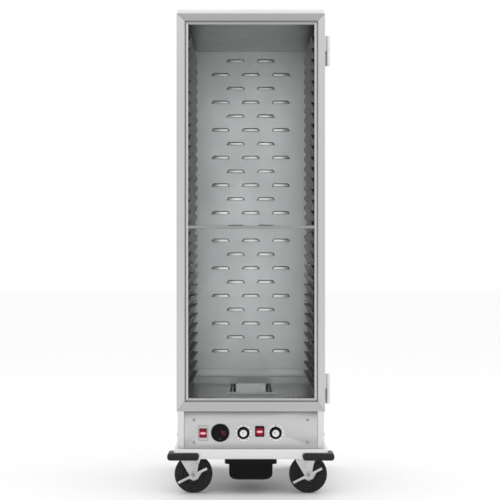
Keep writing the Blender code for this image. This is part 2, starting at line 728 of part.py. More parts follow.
def build_water_pan():
    front, back = water_pan_y()
    half_x = WATER_PAN_WIDTH / 2
    half_y = WATER_PAN_LENGTH / 2
    rim = FLOOR_TOP + SHEET + GAP
    bottom = FLOOR_TOP - WATER_PAN_DEPTH
    wall = WATER_PAN_WALL
    loops = [
        (half_x - 0.008, half_y - 0.008, 0.010, bottom + wall),
        (half_x - wall, half_y - wall, 0.012, bottom + 0.008),
        (half_x - wall, half_y - wall, 0.012, rim),
        (half_x, half_y, 0.0135, rim),
        (half_x, half_y, 0.0135, bottom + 0.008 - wall / 2),
        (half_x - 0.008, half_y - 0.008, 0.010, bottom),
    ]
    pan = tray("water_pan", loops, "Z", STAINLESS, centre=(0.0, (front + back) / 2))
    rim_x = half_x + WATER_PAN_RIM
    rest = FLOOR_TOP + GAP
    front_rim = block("water_pan_front_rim", (-rim_x, front - STEAM_SLOT - SHEET * 2, rest),
                      (rim_x, front + wall / 2, rest + WATER_PAN_LIP), STAINLESS)
    back_rim = block("water_pan_back_rim", (-rim_x, back - wall / 2, rest),
                     (rim_x, back + STEAM_SLOT + SHEET * 2, rest + SHEET), STAINLESS)
    fuse(pan, front_rim, back_rim)
    axis = add_axis("water_pan_lift", (0.0, (front + back) / 2, rest))
    hang([pan, front_rim, back_rim], axis)


# ---------------------------------------------------------------- condensate pan
def drip_rim_top():
    return BASE_UNDER - 2 * GAP


def drip_rim_half_width():
    return DRIP_PAN_WIDTH / 2 + DRIP_RIM_WIDTH


def build_drip_pan():
    """A deep pan with a round floor edge and a rim that turns down all round."""
    wall = DRIP_PAN_WALL
    bend = DRIP_PAN_FLOOR_RADIUS
    top = drip_rim_top()
    lip = top - DRIP_RIM_HEIGHT
    bottom = lip - DRIP_PAN_DEPTH
    half_x = DRIP_PAN_WIDTH / 2
    half_y = DRIP_PAN_LENGTH / 2
    rim_x = drip_rim_half_width()
    rim_y = half_y + DRIP_RIM_WIDTH
    inside = []
    outside = []
    for angle in (90, 60, 30, 0):
        inset = bend * (1 - math.cos(math.radians(angle)))
        rise = bend * (1 - math.sin(math.radians(angle)))
        inside.append((half_x - wall - inset, half_y - wall - inset, 0.012, bottom + wall + rise))
        outside.append((half_x - inset, half_y - inset, 0.014, bottom + rise))
    loops = inside + [
        (half_x - wall, half_y - wall, 0.012, top),
        (rim_x - 0.002, rim_y - 0.002, 0.014, top),
        (rim_x, rim_y, 0.016, top - 0.002),
        (rim_x, rim_y, 0.016, lip),
        (rim_x - wall, rim_y - wall, 0.014, lip),
        (rim_x - wall, rim_y - wall, 0.014, top - wall),
        (half_x, half_y, 0.014, top - wall),
    ] + outside[::-1]
    centre_y = -BASE_Y + rim_y - SHEET
    pan = tray("condensate_pan", loops, "Z", BLACK_PLASTIC, centre=(0.0, centre_y), steps=3)
    axis = add_axis("condensate_pan_slide", (0.0, centre_y, lip))
    hang([pan], axis)


def build_runners():
    """Two angles under the deck that carry the condensate pan's rim."""
    rim_x = drip_rim_half_width()
    ledge = drip_rim_top() - DRIP_RIM_HEIGHT - GAP
    outer = rim_x + 3 * GAP
    start = -BASE_Y + 0.020
    flange = DECK_UNDER - GAP - RUNNER_SHEET
    for name, side in (("pan_runner_left", -1), ("pan_runner_right", 1)):
        path = [(outer - RUNNER_LEDGE, ledge - RUNNER_SHEET), (outer + RUNNER_SHEET, ledge - RUNNER_SHEET),
                (outer + RUNNER_SHEET, flange), (outer + RUNNER_FLANGE, flange)]
        bent_sheet(name, [(side * x, z) for x, z in path], side * RUNNER_SHEET, "Y",
                   start, start + DRIP_PAN_LENGTH, ALUMINIUM)


# ---------------------------------------------------------------- door
def frame_profile(width):
    """Section of a frame member: (distance in from the door's edge, depth from its front)."""
    bead_in = width + GROOVE
    inner = width + PANE_EDGE
    slot = inner - PANE_BITE
    pane_front = PANE_SETBACK - PANE_CLEARANCE
    pane_back = PANE_SETBACK + PANE_THICKNESS + PANE_CLEARANCE
    return [
        (0.0, 0.0), (width, 0.0), (width, GROOVE_DEPTH), (bead_in, GROOVE_DEPTH),
        (bead_in, BEAD_SETBACK), (inner, BEAD_SETBACK), (inner, pane_front), (slot, pane_front),
        (slot, pane_back), (inner, pane_back), (inner, DOOR_THICKNESS - FRAME_BACK_STEP),
        (width, DOOR_THICKNESS), (0.0, DOOR_THICKNESS),
    ]


def frame_corner(side_x, side_z, stile, rail, move_x, move_z):
    """The section at a mitred corner, moved a little along the member that it ends."""
    edge_x = side_x * DOOR_X
    edge_z = DOOR_Z1 if side_z > 0 else DOOR_Z0
    points = []
    for (in_x, depth), (in_z, _) in zip(frame_profile(stile), frame_profile(rail)):
        points.append((edge_x - side_x * in_x + move_x, DOOR_FRONT_Y + depth,
                       edge_z - side_z * in_z + move_z))
    return points


def frame_member(name, first, second):
    """Sides between two mitred sections, whose caps are split along the fold of the mitre."""
    count = len(first)
    faces = [(i, (i + 1) % count, count + (i + 1) % count, count + i) for i in range(count)]
    outer_part = (0, 1, 2, count - 2, count - 1)
    inner_part = tuple(range(2, count - 1))
    for start in (0, count):
        faces.append(tuple(start + i for i in outer_part))
        faces.append(tuple(start + i for i in inner_part))
    return add_object(name, first + second, faces, ALUMINIUM)


def build_door_frame():
    half = GAP / 2
    members = []
    for name, side_z, rail in (("door_top_rail", 1, RAIL_TOP), ("door_bottom_rail", -1, RAIL_BOTTOM)):
        left = frame_corner(-1, side_z, LEFT_STILE_WIDTH, rail, half, 0.0)
        right = frame_corner(1, side_z, RIGHT_STILE_WIDTH, rail, -half, 0.0)
        members.append(frame_member(name, left, right))
    for name, side_x, stile in (("door_left_stile", -1, LEFT_STILE_WIDTH),
                                ("door_right_stile", 1, RIGHT_STILE_WIDTH)):
        low = frame_corner(side_x, -1, stile, RAIL_BOTTOM, 0.0, half)
        high = frame_corner(side_x, 1, stile, RAIL_TOP, 0.0, -half)
        members.append(frame_member(name, low, high))
    return members


def glazing_bar_height():
    return FLOOR_TOP + GLAZING_BAR_LEVEL


def build_panes():
    slot_play = 2 * PANE_CLEARANCE
    left = -DOOR_X + LEFT_STILE_WIDTH + PANE_EDGE - PANE_BITE + slot_play
    right = DOOR_X - RIGHT_STILE_WIDTH - PANE_EDGE + PANE_BITE - slot_play
    low = DOOR_Z0 + RAIL_BOTTOM + PANE_EDGE - PANE_BITE + slot_play
    high = DOOR_Z1 - RAIL_TOP - PANE_EDGE + PANE_BITE - slot_play
    bar = glazing_bar_height()
    web = GLAZING_BAR_HEIGHT / 2 - GLAZING_BAR_BITE + PANE_CLEARANCE
    front = DOOR_FRONT_Y + PANE_SETBACK
    back = front + PANE_THICKNESS
    lower = block("lower_pane", (left, front, low), (right, back, bar - web), CLEAR)
    upper = block("upper_pane", (left, front, bar + web), (right, back, high), CLEAR)
    return [lower, upper]


def build_glazing_bar():
    """An H-section bar between the two panes."""
    left = -DOOR_X + LEFT_STILE_WIDTH + PANE_EDGE + GAP
    right = DOOR_X - RIGHT_STILE_WIDTH - PANE_EDGE - GAP
    middle = glazing_bar_height()
    half = GLAZING_BAR_HEIGHT / 2
    web = half - GLAZING_BAR_BITE
    front = DOOR_FRONT_Y + 2 * BEAD_SETBACK
    pane_front = DOOR_FRONT_Y + PANE_SETBACK - PANE_CLEARANCE
    pane_back = DOOR_FRONT_Y + PANE_SETBACK + PANE_THICKNESS + PANE_CLEARANCE
    back = pane_back + (pane_front - front)
    outline = [
        (front, middle - half), (pane_front, middle - half), (pane_front, middle - web),
        (pane_back, middle - web), (pane_back, middle - half), (back, middle - half),
        (back, middle + half), (pane_back, middle + half), (pane_back, middle + web),
        (pane_front, middle + web), (pane_front, middle + half), (front, middle + half),
    ]
    return prism("glazing_bar", outline, "X", left, right, ALUMINIUM)


def build_gasket():
    front = DOOR_BACK_Y + GAP
    back = FRONT_Y - GAP
    middle_z = (DOOR_Z0 + DOOR_Z1) / 2
    half_z = (DOOR_Z1 - DOOR_Z0) / 2 - GASKET_INSET
    half_x = BODY_X - GASKET_SIDE
    loops = []
    for inset, level in ((0.0, front), (GASKET_TAPER, back), (GASKET_WIDTH - GASKET_TAPER, back),
                         (GASKET_WIDTH, front)):
        outline = rounded_rectangle(half_x - inset, half_z - inset, GASKET_CORNER - inset,
                                    centre=(0.0, middle_z))
        loops.append([to_3d("Y", a, b, level) for a, b in outline])
    return loft("door_gasket", loops, RUBBER, closed=True)


def build_hinge(place, middle):
    """A lift-off hinge: the cabinet's half with its pin below, the door's half on top."""
    centre = (HINGE_X, HINGE_Y)
    low = middle - HINGE_HEIGHT / 2
    high = middle + HINGE_HEIGHT / 2
    arm = HINGE_ARM / 2
    body = block(f"hinge_bracket_{place}", (BODY_X + GAP, FRONT_Y - HINGE_LEAF - SHEET / 2, low),
                 (BODY_X + GAP + HINGE_LEAF, FRONT_Y + HINGE_BODY_LEAF, middle - GAP), STEEL)
    foot = block(f"hinge_bracket_foot_{place}", (BODY_X + GAP, FRONT_Y - HINGE_LEAF - SHEET / 2, low),
                 (HINGE_X + arm, FRONT_Y + SHEET / 2, middle - GAP), STEEL)
    neck = block(f"hinge_bracket_neck_{place}", (HINGE_X - arm, HINGE_Y, low),
                 (HINGE_X + arm, FRONT_Y - SHEET / 2, middle - GAP), STEEL)
    barrel = turned(f"hinge_bracket_barrel_{place}", [
        (KNUCKLE_RADIUS, low), (KNUCKLE_RADIUS, middle - GAP),
        (HINGE_PIN_RADIUS, middle - GAP), (HINGE_PIN_RADIUS, middle + HINGE_PIN_LENGTH),
    ], "Z", centre, STEEL, segments=24)
    fuse(body, foot, neck, barrel)

    leaf_x = DOOR_X + GAP
    leaf = block(f"hinge_leaf_{place}", (leaf_x, HINGE_Y - HINGE_LEAF_DEPTH, middle + GAP),
                 (leaf_x + HINGE_LEAF, HINGE_Y + arm, high), STEEL)
    link = block(f"hinge_leaf_link_{place}", (leaf_x, HINGE_Y - arm, middle + GAP),
                 (HINGE_X, HINGE_Y + arm, high), STEEL)
    bore = HINGE_PIN_RADIUS + 2 * GAP
    hole_top = middle + HINGE_PIN_LENGTH + SHEET
    knuckle = turned(f"hinge_leaf_knuckle_{place}", [(KNUCKLE_RADIUS, middle + GAP), (KNUCKLE_RADIUS, high)],
                     "Z", centre, STEEL, segments=24)
    hole = turned(f"hinge_leaf_bore_{place}", [(bore, middle - HINGE_LEAF), (bore, hole_top)],
                  "Z", centre, STEEL, segments=24)
    fuse(leaf, link, knuckle)
    cut(leaf, hole)
    return [leaf, link, knuckle, hole]


def build_door():
    pieces = build_door_frame() + build_panes() + [build_glazing_bar(), build_gasket()]
    pieces += build_hinge("lower", DOOR_Z0 + HINGE_END_LOWER)
    pieces += build_hinge("upper", DOOR_Z1 - HINGE_END_UPPER)
    hang(pieces, add_axis("door_hinge_axis", (HINGE_X, HINGE_Y, DOOR_Z0)))


# ---------------------------------------------------------------- control panel
def build_fascia():
    half = BODY_X - POST_WIDTH - 3 * GAP
    depth = FRONT_Y + POST_RETURN + SHEET
    path = [(depth, FASCIA_UNDER), (FRONT_Y, FASCIA_UNDER), (FRONT_Y, FASCIA_TOP), (depth, FASCIA_TOP)]
    fascia = bent_sheet("control_fascia", path, -SHEET, "X", -half, half, ALUMINIUM)
    front, back = FRONT_Y - SHEET, FRONT_Y + 2 * SHEET
    holes = []
    shaft_hole = SHAFT_RADIUS + SHEET
    for (x, height), radius in ((TEMPERATURE_KNOB, shaft_hole), (HUMIDITY_KNOB, shaft_hole),
                                (DISPLAY, DISPLAY_BARREL + 2 * GAP)):
        holes.append(turned("hole", [(radius, front), (radius, back)], "Y", (x, DECK_TOP + height),
                            ALUMINIUM, segments=24, smooth_angle=None))
    for x, height in (POWER_SWITCH, MODE_SWITCH):
        half_x, half_z = bezel_body_half()
        z = DECK_TOP + height
        holes.append(block("hole", (x - half_x - GAP, front, z - half_z - GAP),
                           (x + half_x + GAP, back, z + half_z + GAP), ALUMINIUM))
    cut(fascia, join_bodies("fascia_holes", holes, ALUMINIUM))


def bezel_pocket_half():
    return ROCKER_SIZE[0] / 2 + ROCKER_PLAY, ROCKER_SIZE[1] / 2 + ROCKER_SWING_PLAY


def bezel_body_half():
    half_x, half_z = bezel_pocket_half()
    return half_x + BEZEL_WALL, half_z + BEZEL_WALL


def build_switch(place, bezel_size, x, height):
    z = DECK_TOP + height
    seat = FRONT_Y - GAP
    face = seat - BEZEL_THICKNESS
    floor = face + BEZEL_POCKET
    pocket_x, pocket_z = bezel_pocket_half()
    body_x, body_z = bezel_body_half()
    loops = [
        (pocket_x, pocket_z, 0.0008, floor), (pocket_x, pocket_z, 0.0008, face),
        (bezel_size[0] / 2 - 0.001, bezel_size[1] / 2 - 0.001, 0.002, face),
        (bezel_size[0] / 2, bezel_size[1] / 2, 0.003, face + 0.001),
        (bezel_size[0] / 2, bezel_size[1] / 2, 0.003, seat), (body_x, body_z, 0.001, seat),
        (body_x, body_z, 0.001, floor + BEZEL_WALL),
    ]
    tray(f"{place}_switch_bezel", loops, "Y", LIGHT_PLASTIC, centre=(x, z), steps=2)

    pivot = seat + SHEET
    half_z = ROCKER_SIZE[1] / 2
    section = [(0.0, -0.0075), (half_z, -0.0092), (half_z, -0.0030), (half_z * 0.4, 0.0040),
               (-half_z * 0.4, 0.0040), (-half_z, -0.0030), (-half_z, -0.0092)]
    turn = (math.cos(ROCKER_TILT), math.sin(ROCKER_TILT))
    outline = [(pivot + depth * turn[0] - up * turn[1], z + up * turn[0] + depth * turn[1])
               for up, depth in section]
    half_x = ROCKER_SIZE[0] / 2
    rocker = prism(f"{place}_rocker", outline, "X", x - half_x, x + half_x, RED)
    hang([rocker], add_axis(f"{place}_rocker_pivot", (x, pivot, z)))


def build_display():
    x, height = DISPLAY
    seat = FRONT_Y - GAP
    turned("display_module", [
        (DISPLAY_RADIUS - 0.0015, seat - 0.0040), (DISPLAY_RADIUS, seat - 0.0025), (DISPLAY_RADIUS, seat),
        (DISPLAY_BARREL, seat), (DISPLAY_BARREL, seat + DISPLAY_DEPTH),
    ], "Y", (x, DECK_TOP + height), BLACK_PLASTIC, segments=32)


def build_knob(name, body_name, x, height):
    """A dial knob on the shaft of the control behind the fascia."""
    z = DECK_TOP + height
    seat = FRONT_Y - KNOB_STANDOFF
    tip = FRONT_Y - SHAFT_LENGTH
    bore = SHAFT_RADIUS + GAP
    outside = [(bore, seat), (KNOB_SKIRT, seat), (KNOB_SKIRT, seat - 0.002),
               (KNOB_RADIUS + 0.001, seat - 0.006),
               (KNOB_RADIUS, seat - KNOB_HEIGHT + 0.0015), (KNOB_RADIUS - 0.0015, seat - KNOB_HEIGHT)]
    knob = turned(name, outside, "Y", (x, z), BLACK_PLASTIC, segments=24)
    hole = turned(name + "_bore", [(bore, seat + SHEET), (bore, tip - SHEET)], "Y", (x, z),
                  BLACK_PLASTIC, segments=12)
    cut(knob, hole)
    hang([knob, hole], add_axis(name + "_axis", (x, seat, z)))

    width, depth, tall = CONTROL_BODY
    front = FRONT_Y + SHEET + GAP
    body = block(body_name, (x - width / 2, front, z - tall / 2),
                 (x + width / 2, front + depth, z + tall / 2),
                 LIGHT_PLASTIC)
    shaft = turned(body_name + "_shaft", [(SHAFT_RADIUS, tip), (SHAFT_RADIUS, front + SHEET)],
                   "Y", (x, z), STEEL, segments=12)
    fuse(body, shaft)


# ---------------------------------------------------------------- heater, fan, power inlet
def build_heating_element():
    """A hairpin of tube whose ends stand on the base deck."""
    curve = bpy.data.curves.new("heating_element", "CURVE")
    curve.dimensions = "3D"
    curve.bevel_depth = ELEMENT_RADIUS
    curve.bevel_resolution = 1
    curve.use_fill_caps = True
    half = ELEMENT_WIDTH / 2
    bend = ELEMENT_BEND
    back = REAR_Y - DUCT_DEPTH - MOTOR_LENGTH - ELEMENT_SETBACK
    front = back - ELEMENT_LENGTH
    height = DECK_TOP + ELEMENT_HEIGHT
    foot = DECK_TOP + GAP
    route = [(half, back, foot)]
    route += [(half, y, z) for y, z in arc((back - bend, height - bend), bend, 0, 90, 4)]
    route += [(x, y, height) for x, y in arc((0.0, front + half), half, 0, -180, 12)]
    route += [(-half, y, z) for y, z in arc((back - bend, height - bend), bend, 90, 0, 4)]
    route += [(-half, back, foot)]
    spline = curve.splines.new("POLY")
    spline.points.add(len(route) - 1)
    for point, place in zip(spline.points, route):
        point.co = (*place, 1.0)
    element = bpy.data.objects.new("heating_element", curve)
    curve.materials.append(DARK_STEEL)
    bpy.context.collection.objects.link(element)


def build_fan():
    z = DECK_TOP + MOTOR_HEIGHT
    back = REAR_Y
    front = back - MOTOR_LENGTH
    turned("fan_motor", [
        (MOTOR_RADIUS, back), (MOTOR_RADIUS, front + 0.004), (MOTOR_RADIUS - 0.004, front),
        (MOTOR_SHAFT, front), (MOTOR_SHAFT, front - MOTOR_SHAFT_LENGTH),
    ], "Y", (0.0, z), DARK_STEEL, segments=24)
    outline = []
    per_blade = 8
    for step in range(IMPELLER_BLADES * per_blade):
        angle = 2 * math.pi * step / (IMPELLER_BLADES * per_blade)
        radius = IMPELLER_RADIUS if step % per_blade < per_blade // 2 - 1 else IMPELLER_HUB
        outline.append((radius * math.sin(angle), z + radius * math.cos(angle)))
    rear = front - SHEET
    impeller = prism("fan_impeller", outline, "Y", rear - IMPELLER_WIDTH, rear, ALUMINIUM)
    bore = turned("fan_impeller_bore", [(MOTOR_SHAFT + GAP, rear - 2 * IMPELLER_WIDTH),
                                        (MOTOR_SHAFT + GAP, rear + SHEET)],
                  "Y", (0.0, z), ALUMINIUM, segments=20)
    cut(impeller, bore)
    hang([impeller, bore], add_axis("fan_axis", (0.0, rear, z)))


def build_power_inlet():
    x, height = INLET_PLACE
    z = DECK_TOP + height
    seat = REAR_Y + GAP + SHEET + GAP
    face = seat + SHEET
    inner = face - INLET_DEPTH
    loops = [
        (INLET_SOCKET[0] / 2, INLET_SOCKET[1] / 2, 0.003, inner + SHEET),
        (INLET_SOCKET[0] / 2, INLET_SOCKET[1] / 2, 0.003, face),
        (INLET_SIZE[0] / 2, INLET_SIZE[1] / 2, 0.004, face),
        (INLET_SIZE[0] / 2, INLET_SIZE[1] / 2, 0.004, seat),
        (INLET_BODY[0] / 2, INLET_BODY[1] / 2, 0.001, seat),
        (INLET_BODY[0] / 2, INLET_BODY[1] / 2, 0.001, inner),
    ]
    tray("power_inlet", loops, "Y", BLACK_PLASTIC, centre=(x, z), steps=2)


def build_all():
    build_base()
    for end, side_y in (("front", -1), ("rear", 1)):
        for hand, side_x in (("left", -1), ("right", 1)):
            build_bumper(f"bumper_{end}_{hand}", side_x, side_y)
    build_casters()
    build_side_panel("side_panel_left", -1)
    build_side_panel("side_panel_right", 1)
    build_roof()
    build_rear_panel()
    build_ceiling()
    build_racks()
    build_baffle()
    build_floor()
    build_water_pan()
    build_drip_pan()
    build_runners()
    build_door()
    build_fascia()
    build_switch("power", POWER_BEZEL, *POWER_SWITCH)
    build_switch("mode", MODE_BEZEL, *MODE_SWITCH)
    build_display()
    build_knob("temperature_knob", "thermostat_body", *TEMPERATURE_KNOB)
    build_knob("humidity_knob", "humidity_control_body", *HUMIDITY_KNOB)
    build_heating_element()
    build_fan()
    build_power_inlet()


clear_scene()
ALUMINIUM = make_material("aluminium", (0.80, 0.80, 0.79), 0.32, metallic=1.0)
STEEL = make_material("zinc_steel", (0.72, 0.72, 0.70), 0.35, metallic=1.0)
DARK_STEEL = make_material("dark_steel", (0.20, 0.20, 0.21), 0.45, metallic=1.0)
STAINLESS = make_material("stainless_steel", (0.62, 0.61, 0.60), 0.28, metallic=1.0)
RUBBER = make_material("black_rubber", (0.025, 0.025, 0.026), 0.65)
BLACK_PLASTIC = make_material("black_plastic", (0.02, 0.02, 0.02), 0.4)
LIGHT_PLASTIC = make_material("light_plastic", (0.70, 0.69, 0.67), 0.4)
RED = make_material("red_plastic", (0.70, 0.03, 0.03), 0.3)
CLEAR = make_material("clear_polycarbonate", (0.95, 0.96, 0.96), 0.05, transmission=1.0)
build_all()
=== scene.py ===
import json
import math

import bmesh
import bpy
from mathutils import Matrix, Vector


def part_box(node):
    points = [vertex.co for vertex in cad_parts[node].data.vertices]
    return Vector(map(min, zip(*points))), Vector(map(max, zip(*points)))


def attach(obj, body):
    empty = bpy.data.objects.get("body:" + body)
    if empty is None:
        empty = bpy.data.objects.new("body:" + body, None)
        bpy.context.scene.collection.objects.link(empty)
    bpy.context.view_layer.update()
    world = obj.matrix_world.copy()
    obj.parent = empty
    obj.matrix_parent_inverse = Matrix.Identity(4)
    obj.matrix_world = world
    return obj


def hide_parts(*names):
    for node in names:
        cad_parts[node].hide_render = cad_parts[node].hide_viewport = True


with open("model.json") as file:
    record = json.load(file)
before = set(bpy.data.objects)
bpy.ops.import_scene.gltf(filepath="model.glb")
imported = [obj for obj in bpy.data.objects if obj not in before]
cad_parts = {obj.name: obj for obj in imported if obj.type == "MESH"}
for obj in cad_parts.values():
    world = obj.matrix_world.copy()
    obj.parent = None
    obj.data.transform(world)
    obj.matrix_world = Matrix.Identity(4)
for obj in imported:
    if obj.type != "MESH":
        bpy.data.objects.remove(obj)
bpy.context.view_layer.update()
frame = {"nodes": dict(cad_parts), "record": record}

# ---------------------------------------------------------------- where things are
BODY_OF = {node: body for body, nodes in frame["record"]["behaviour"]["bodies"].items() for node in nodes}
OUTWARD = {"X": Vector((1, 0, 0)), "-X": Vector((-1, 0, 0)), "Y": Vector((0, 1, 0)),
           "-Y": Vector((0, -1, 0)), "Z": Vector((0, 0, 1)), "-Z": Vector((0, 0, -1))}


def middle(node):
    low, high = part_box(node)
    return (low + high) / 2


def size(node):
    low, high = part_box(node)
    return high - low


# ---------------------------------------------------------------- camera, floor and lights
CAMERA_DISTANCE = 5.03
CAMERA_HEIGHT = 0.812
CAMERA_LENS = 101.7
CAMERA_SHIFT = (-0.0016, 0.036)


def set_camera():
    data = bpy.data.cameras.new("camera")
    data.lens = CAMERA_LENS
    data.shift_x, data.shift_y = CAMERA_SHIFT
    data.clip_end = 60.0
    camera = bpy.data.objects.new("camera", data)
    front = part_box("door_left_stile")[0].y
    camera.location = (0.0, front - CAMERA_DISTANCE, CAMERA_HEIGHT)
    camera.rotation_euler = (math.radians(90), 0.0, 0.0)
    bpy.context.scene.collection.objects.link(camera)
    bpy.context.scene.camera = camera


def add_light(name, place, aim, width, height, power):
    data = bpy.data.lights.new(name, "AREA")
    data.shape = "RECTANGLE"
    data.size = width
    data.size_y = height
    data.energy = power
    light = bpy.data.objects.new(name, data)
    light.location = place
    light.rotation_euler = (Vector(aim) - Vector(place)).to_track_quat("-Z", "Y").to_euler()
    bpy.context.scene.collection.objects.link(light)


def set_lights():
    scene = bpy.context.scene
    scene.view_settings.view_transform = "Standard"
    world = bpy.data.worlds.new("studio")
    scene.world = world
    world.use_nodes = True
    sky = world.node_tree.nodes["Background"]
    sky.inputs["Color"].default_value = (1.0, 1.0, 1.0, 1.0)
    sky.inputs["Strength"].default_value = 1.0
    add_light("overhead softbox", (0.0, -0.6, 4.2), (0.0, 0.0, 0.0), 8.0, 8.0, 40.0)
    add_light("right softbox", (3.2, -2.6, 2.3), (0.0, 0.0, 1.2), 1.2, 2.4, 8.0)


# ---------------------------------------------------------------- shader nodes
class Number:
    """A shader value that Python's operators work on."""

    def __init__(self, finish, socket):
        self.finish = finish
        self.socket = socket

    def __add__(self, other):
        return self.finish.maths("ADD", self, other)

    __radd__ = __add__

    def __sub__(self, other):
        return self.finish.maths("SUBTRACT", self, other)

    def __mul__(self, other):
        return self.finish.maths("MULTIPLY", self, other)

    __rmul__ = __mul__

    def __truediv__(self, other):
        return self.finish.maths("DIVIDE", self, other)


class Finish:
    """A material, built from its nodes."""

    def __init__(self, name, colour, roughness, metallic=0.0):
        self.material = bpy.data.materials.new(name)
        self.material.use_nodes = True
        self.tree = self.material.node_tree
        self.shader = self.tree.nodes["Principled BSDF"]
        self.colour = (*colour, 1.0)
        self.set("Base Color", self.colour)
        self.set("Roughness", roughness)
        self.set("Metallic", metallic)
        self.place = self.node("ShaderNodeTexCoord", result="Object")

    def node(self, kind, settings=None, inputs=None, result=0):
        """Adds a node: its settings or its ramp's stops first, then the values or links of its sockets."""
        node = self.tree.nodes.new(kind)
        for name, value in (settings or {}).items():
            if name == "stops":
                ramp = node.color_ramp.elements
                while len(ramp) < len(value):
                    ramp.new(0.5)
                for stop, (position, level) in zip(ramp, value):
                    stop.position = position
                    stop.color = (level, level, level, 1.0)
            else:
                setattr(node, name, value)
        for name, value in (inputs or {}).items():
            self.feed(node.inputs[name], value)
        return Number(self, node.outputs[result])

    def feed(self, socket, value):
        if isinstance(value, Number):
            self.tree.links.new(value.socket, socket)
        else:
            socket.default_value = value

    def set(self, name, value):
        self.feed(self.shader.inputs[name], value)

    def maths(self, operation, first, second=0.0, clamp=False):
        settings = {"operation": operation, "use_clamp": clamp}
        return self.node("ShaderNodeMath", settings, {0: first, 1: second})

    def clamp(self, value):
        return self.maths("ADD", value, 0.0, clamp=True)

    def steps(self, value, *stops):
        """Reads a value through a ramp of (position, level) stops."""
        return self.node("ShaderNodeValToRGB", {"stops": stops}, {"Fac": value})

    def mix(self, factor, first, second):
        return self.node("ShaderNodeMix", {"data_type": "RGBA", "blend_type": "MIX", "clamp_factor": True},
                         {0: factor, 6: first, 7: second}, result=2)

    def spot(self, size, offset=(0.0, 0.0, 0.0)):
        """Object coordinates counted in a size, or in one size for each axis, in metres."""
        sizes = size if isinstance(size, tuple) else (size,) * 3
        centred = self.node("ShaderNodeMapping", {"vector_type": "TEXTURE"},
                            {"Vector": self.place, "Location": offset}, "Vector")
        scale = tuple(1 / s for s in sizes)
        return self.node("ShaderNodeMapping", {}, {"Vector": centred, "Scale": scale}, "Vector")

    def noise(self, size, detail=3.0, offset=(0.0, 0.0, 0.0)):
        return self.node("ShaderNodeTexNoise", {},
                         {"Vector": self.spot(size, offset), "Scale": 1.0, "Detail": detail})

    def axis(self, name, centre=(0.0, 0.0, 0.0)):
        """One coordinate in metres, from a centre."""
        return self.node("ShaderNodeSeparateXYZ", {}, {"Vector": self.spot(1.0, centre)}, name)

    def bump(self, height, depth, strength=1.0):
        """Raises the surface by up to a depth in metres where the height is 1."""
        self.set("Normal", self.node("ShaderNodeBump", {},
                                     {"Height": height, "Distance": depth, "Strength": strength}, "Normal"))

    def shade(self, amount, factor):
        """Darkens the finish's colour to a share of it where the factor is 1."""
        dark = tuple(c * amount for c in self.colour[:3]) + (1.0,)
        return self.mix(factor, self.colour, dark)


GRAIN = {"X": (0.12, 0.0011, 0.0011), "Y": (0.0011, 0.12, 0.0011), "Z": (0.0011, 0.0011, 0.12)}
STREAK = {"X": (0.9, 0.006, 0.006), "Y": (0.006, 0.9, 0.006), "Z": (0.006, 0.006, 0.9)}


def rolled_metal(name, colour, roughness, grain="Z", streaks=0.08, clouds=0.10, scuffs=0.25, metallic=1.0):
    """Sheet or extrusion with its rolling lines, faint clouding, handling marks and a few fine scuffs."""
    finish = Finish(name, colour, roughness, metallic)
    lines = finish.noise(GRAIN[grain], 4.0)
    bands = finish.noise(STREAK[grain], 2.0, offset=(3.1, 1.7, 0.4))
    cloud = finish.noise(0.16, 3.0, offset=(0.7, 2.3, 5.1))
    hands = finish.noise(0.045, 5.0, offset=(8.2, 0.1, 1.3))
    handling = finish.noise((0.004, 0.019, 0.012), 6.0, offset=(2.2, 9.1, 4.0))
    marks = finish.steps(handling, (0.66, 0.0), (0.74, 1.0))
    tone = finish.clamp(streaks * bands * 2.0 + clouds * cloud + 0.06 * lines + scuffs * 0.2 * marks)
    finish.set("Base Color", finish.shade(0.72, tone))
    finish.set("Roughness", finish.clamp(roughness + 0.10 * (lines - 0.5) + 0.16 * (cloud - 0.5)
                                         + 0.10 * (hands - 0.5) + 0.12 * scuffs * marks))
    finish.bump(lines + 0.6 * marks, 0.00012, 0.35)
    return finish.material


def zinc_plate(name, colour, roughness):
    """Zinc plate: a fine spangle with duller patches and a dirty film in places."""
    finish = Finish(name, colour, roughness, 1.0)
    spangle = finish.node("ShaderNodeTexVoronoi", {"feature": "F1"},
                          {"Vector": finish.spot(0.0035), "Scale": 1.0, "Randomness": 1.0}, "Distance")
    dull = finish.noise(0.018, 5.0)
    film = finish.steps(finish.noise(0.030, 6.0, offset=(4.0, 4.4, 1.1)), (0.50, 0.0), (0.72, 1.0))
    finish.set("Base Color", finish.shade(0.66, finish.clamp(0.30 * spangle + 0.40 * film)))
    finish.set("Roughness", finish.clamp(roughness + 0.22 * (dull - 0.5) + 0.15 * film))
    finish.bump(spangle + dull, 0.00015, 0.4)
    return finish.material


def moulded(name, colour, roughness, grain=0.0009, depth=0.00006, dust=0.10, gloss=0.5):
    """Moulded plastic or rubber with a fine eggshell grain, a little dust and rubbed patches."""
    finish = Finish(name, colour, roughness)
    egg = finish.noise(grain, 2.0)
    rubbed = finish.noise(0.022, 4.0, offset=(1.2, 3.3, 0.2))
    settled = finish.steps(finish.noise(0.012, 6.0, offset=(5.0, 0.6, 2.0)), (0.45, 0.0), (0.8, 1.0))
    grey = tuple(c + 0.16 for c in colour) + (1.0,)
    finish.set("Base Color", finish.mix(finish.clamp(dust * settled + 0.03 * egg), finish.colour, grey))
    finish.set("Roughness", finish.clamp(roughness + 0.20 * (rubbed - 0.5) + 0.10 * settled))
    finish.set("Specular IOR Level", gloss)
    finish.bump(egg, depth, 0.6)
    return finish.material


RING_PITCH = 0.0016


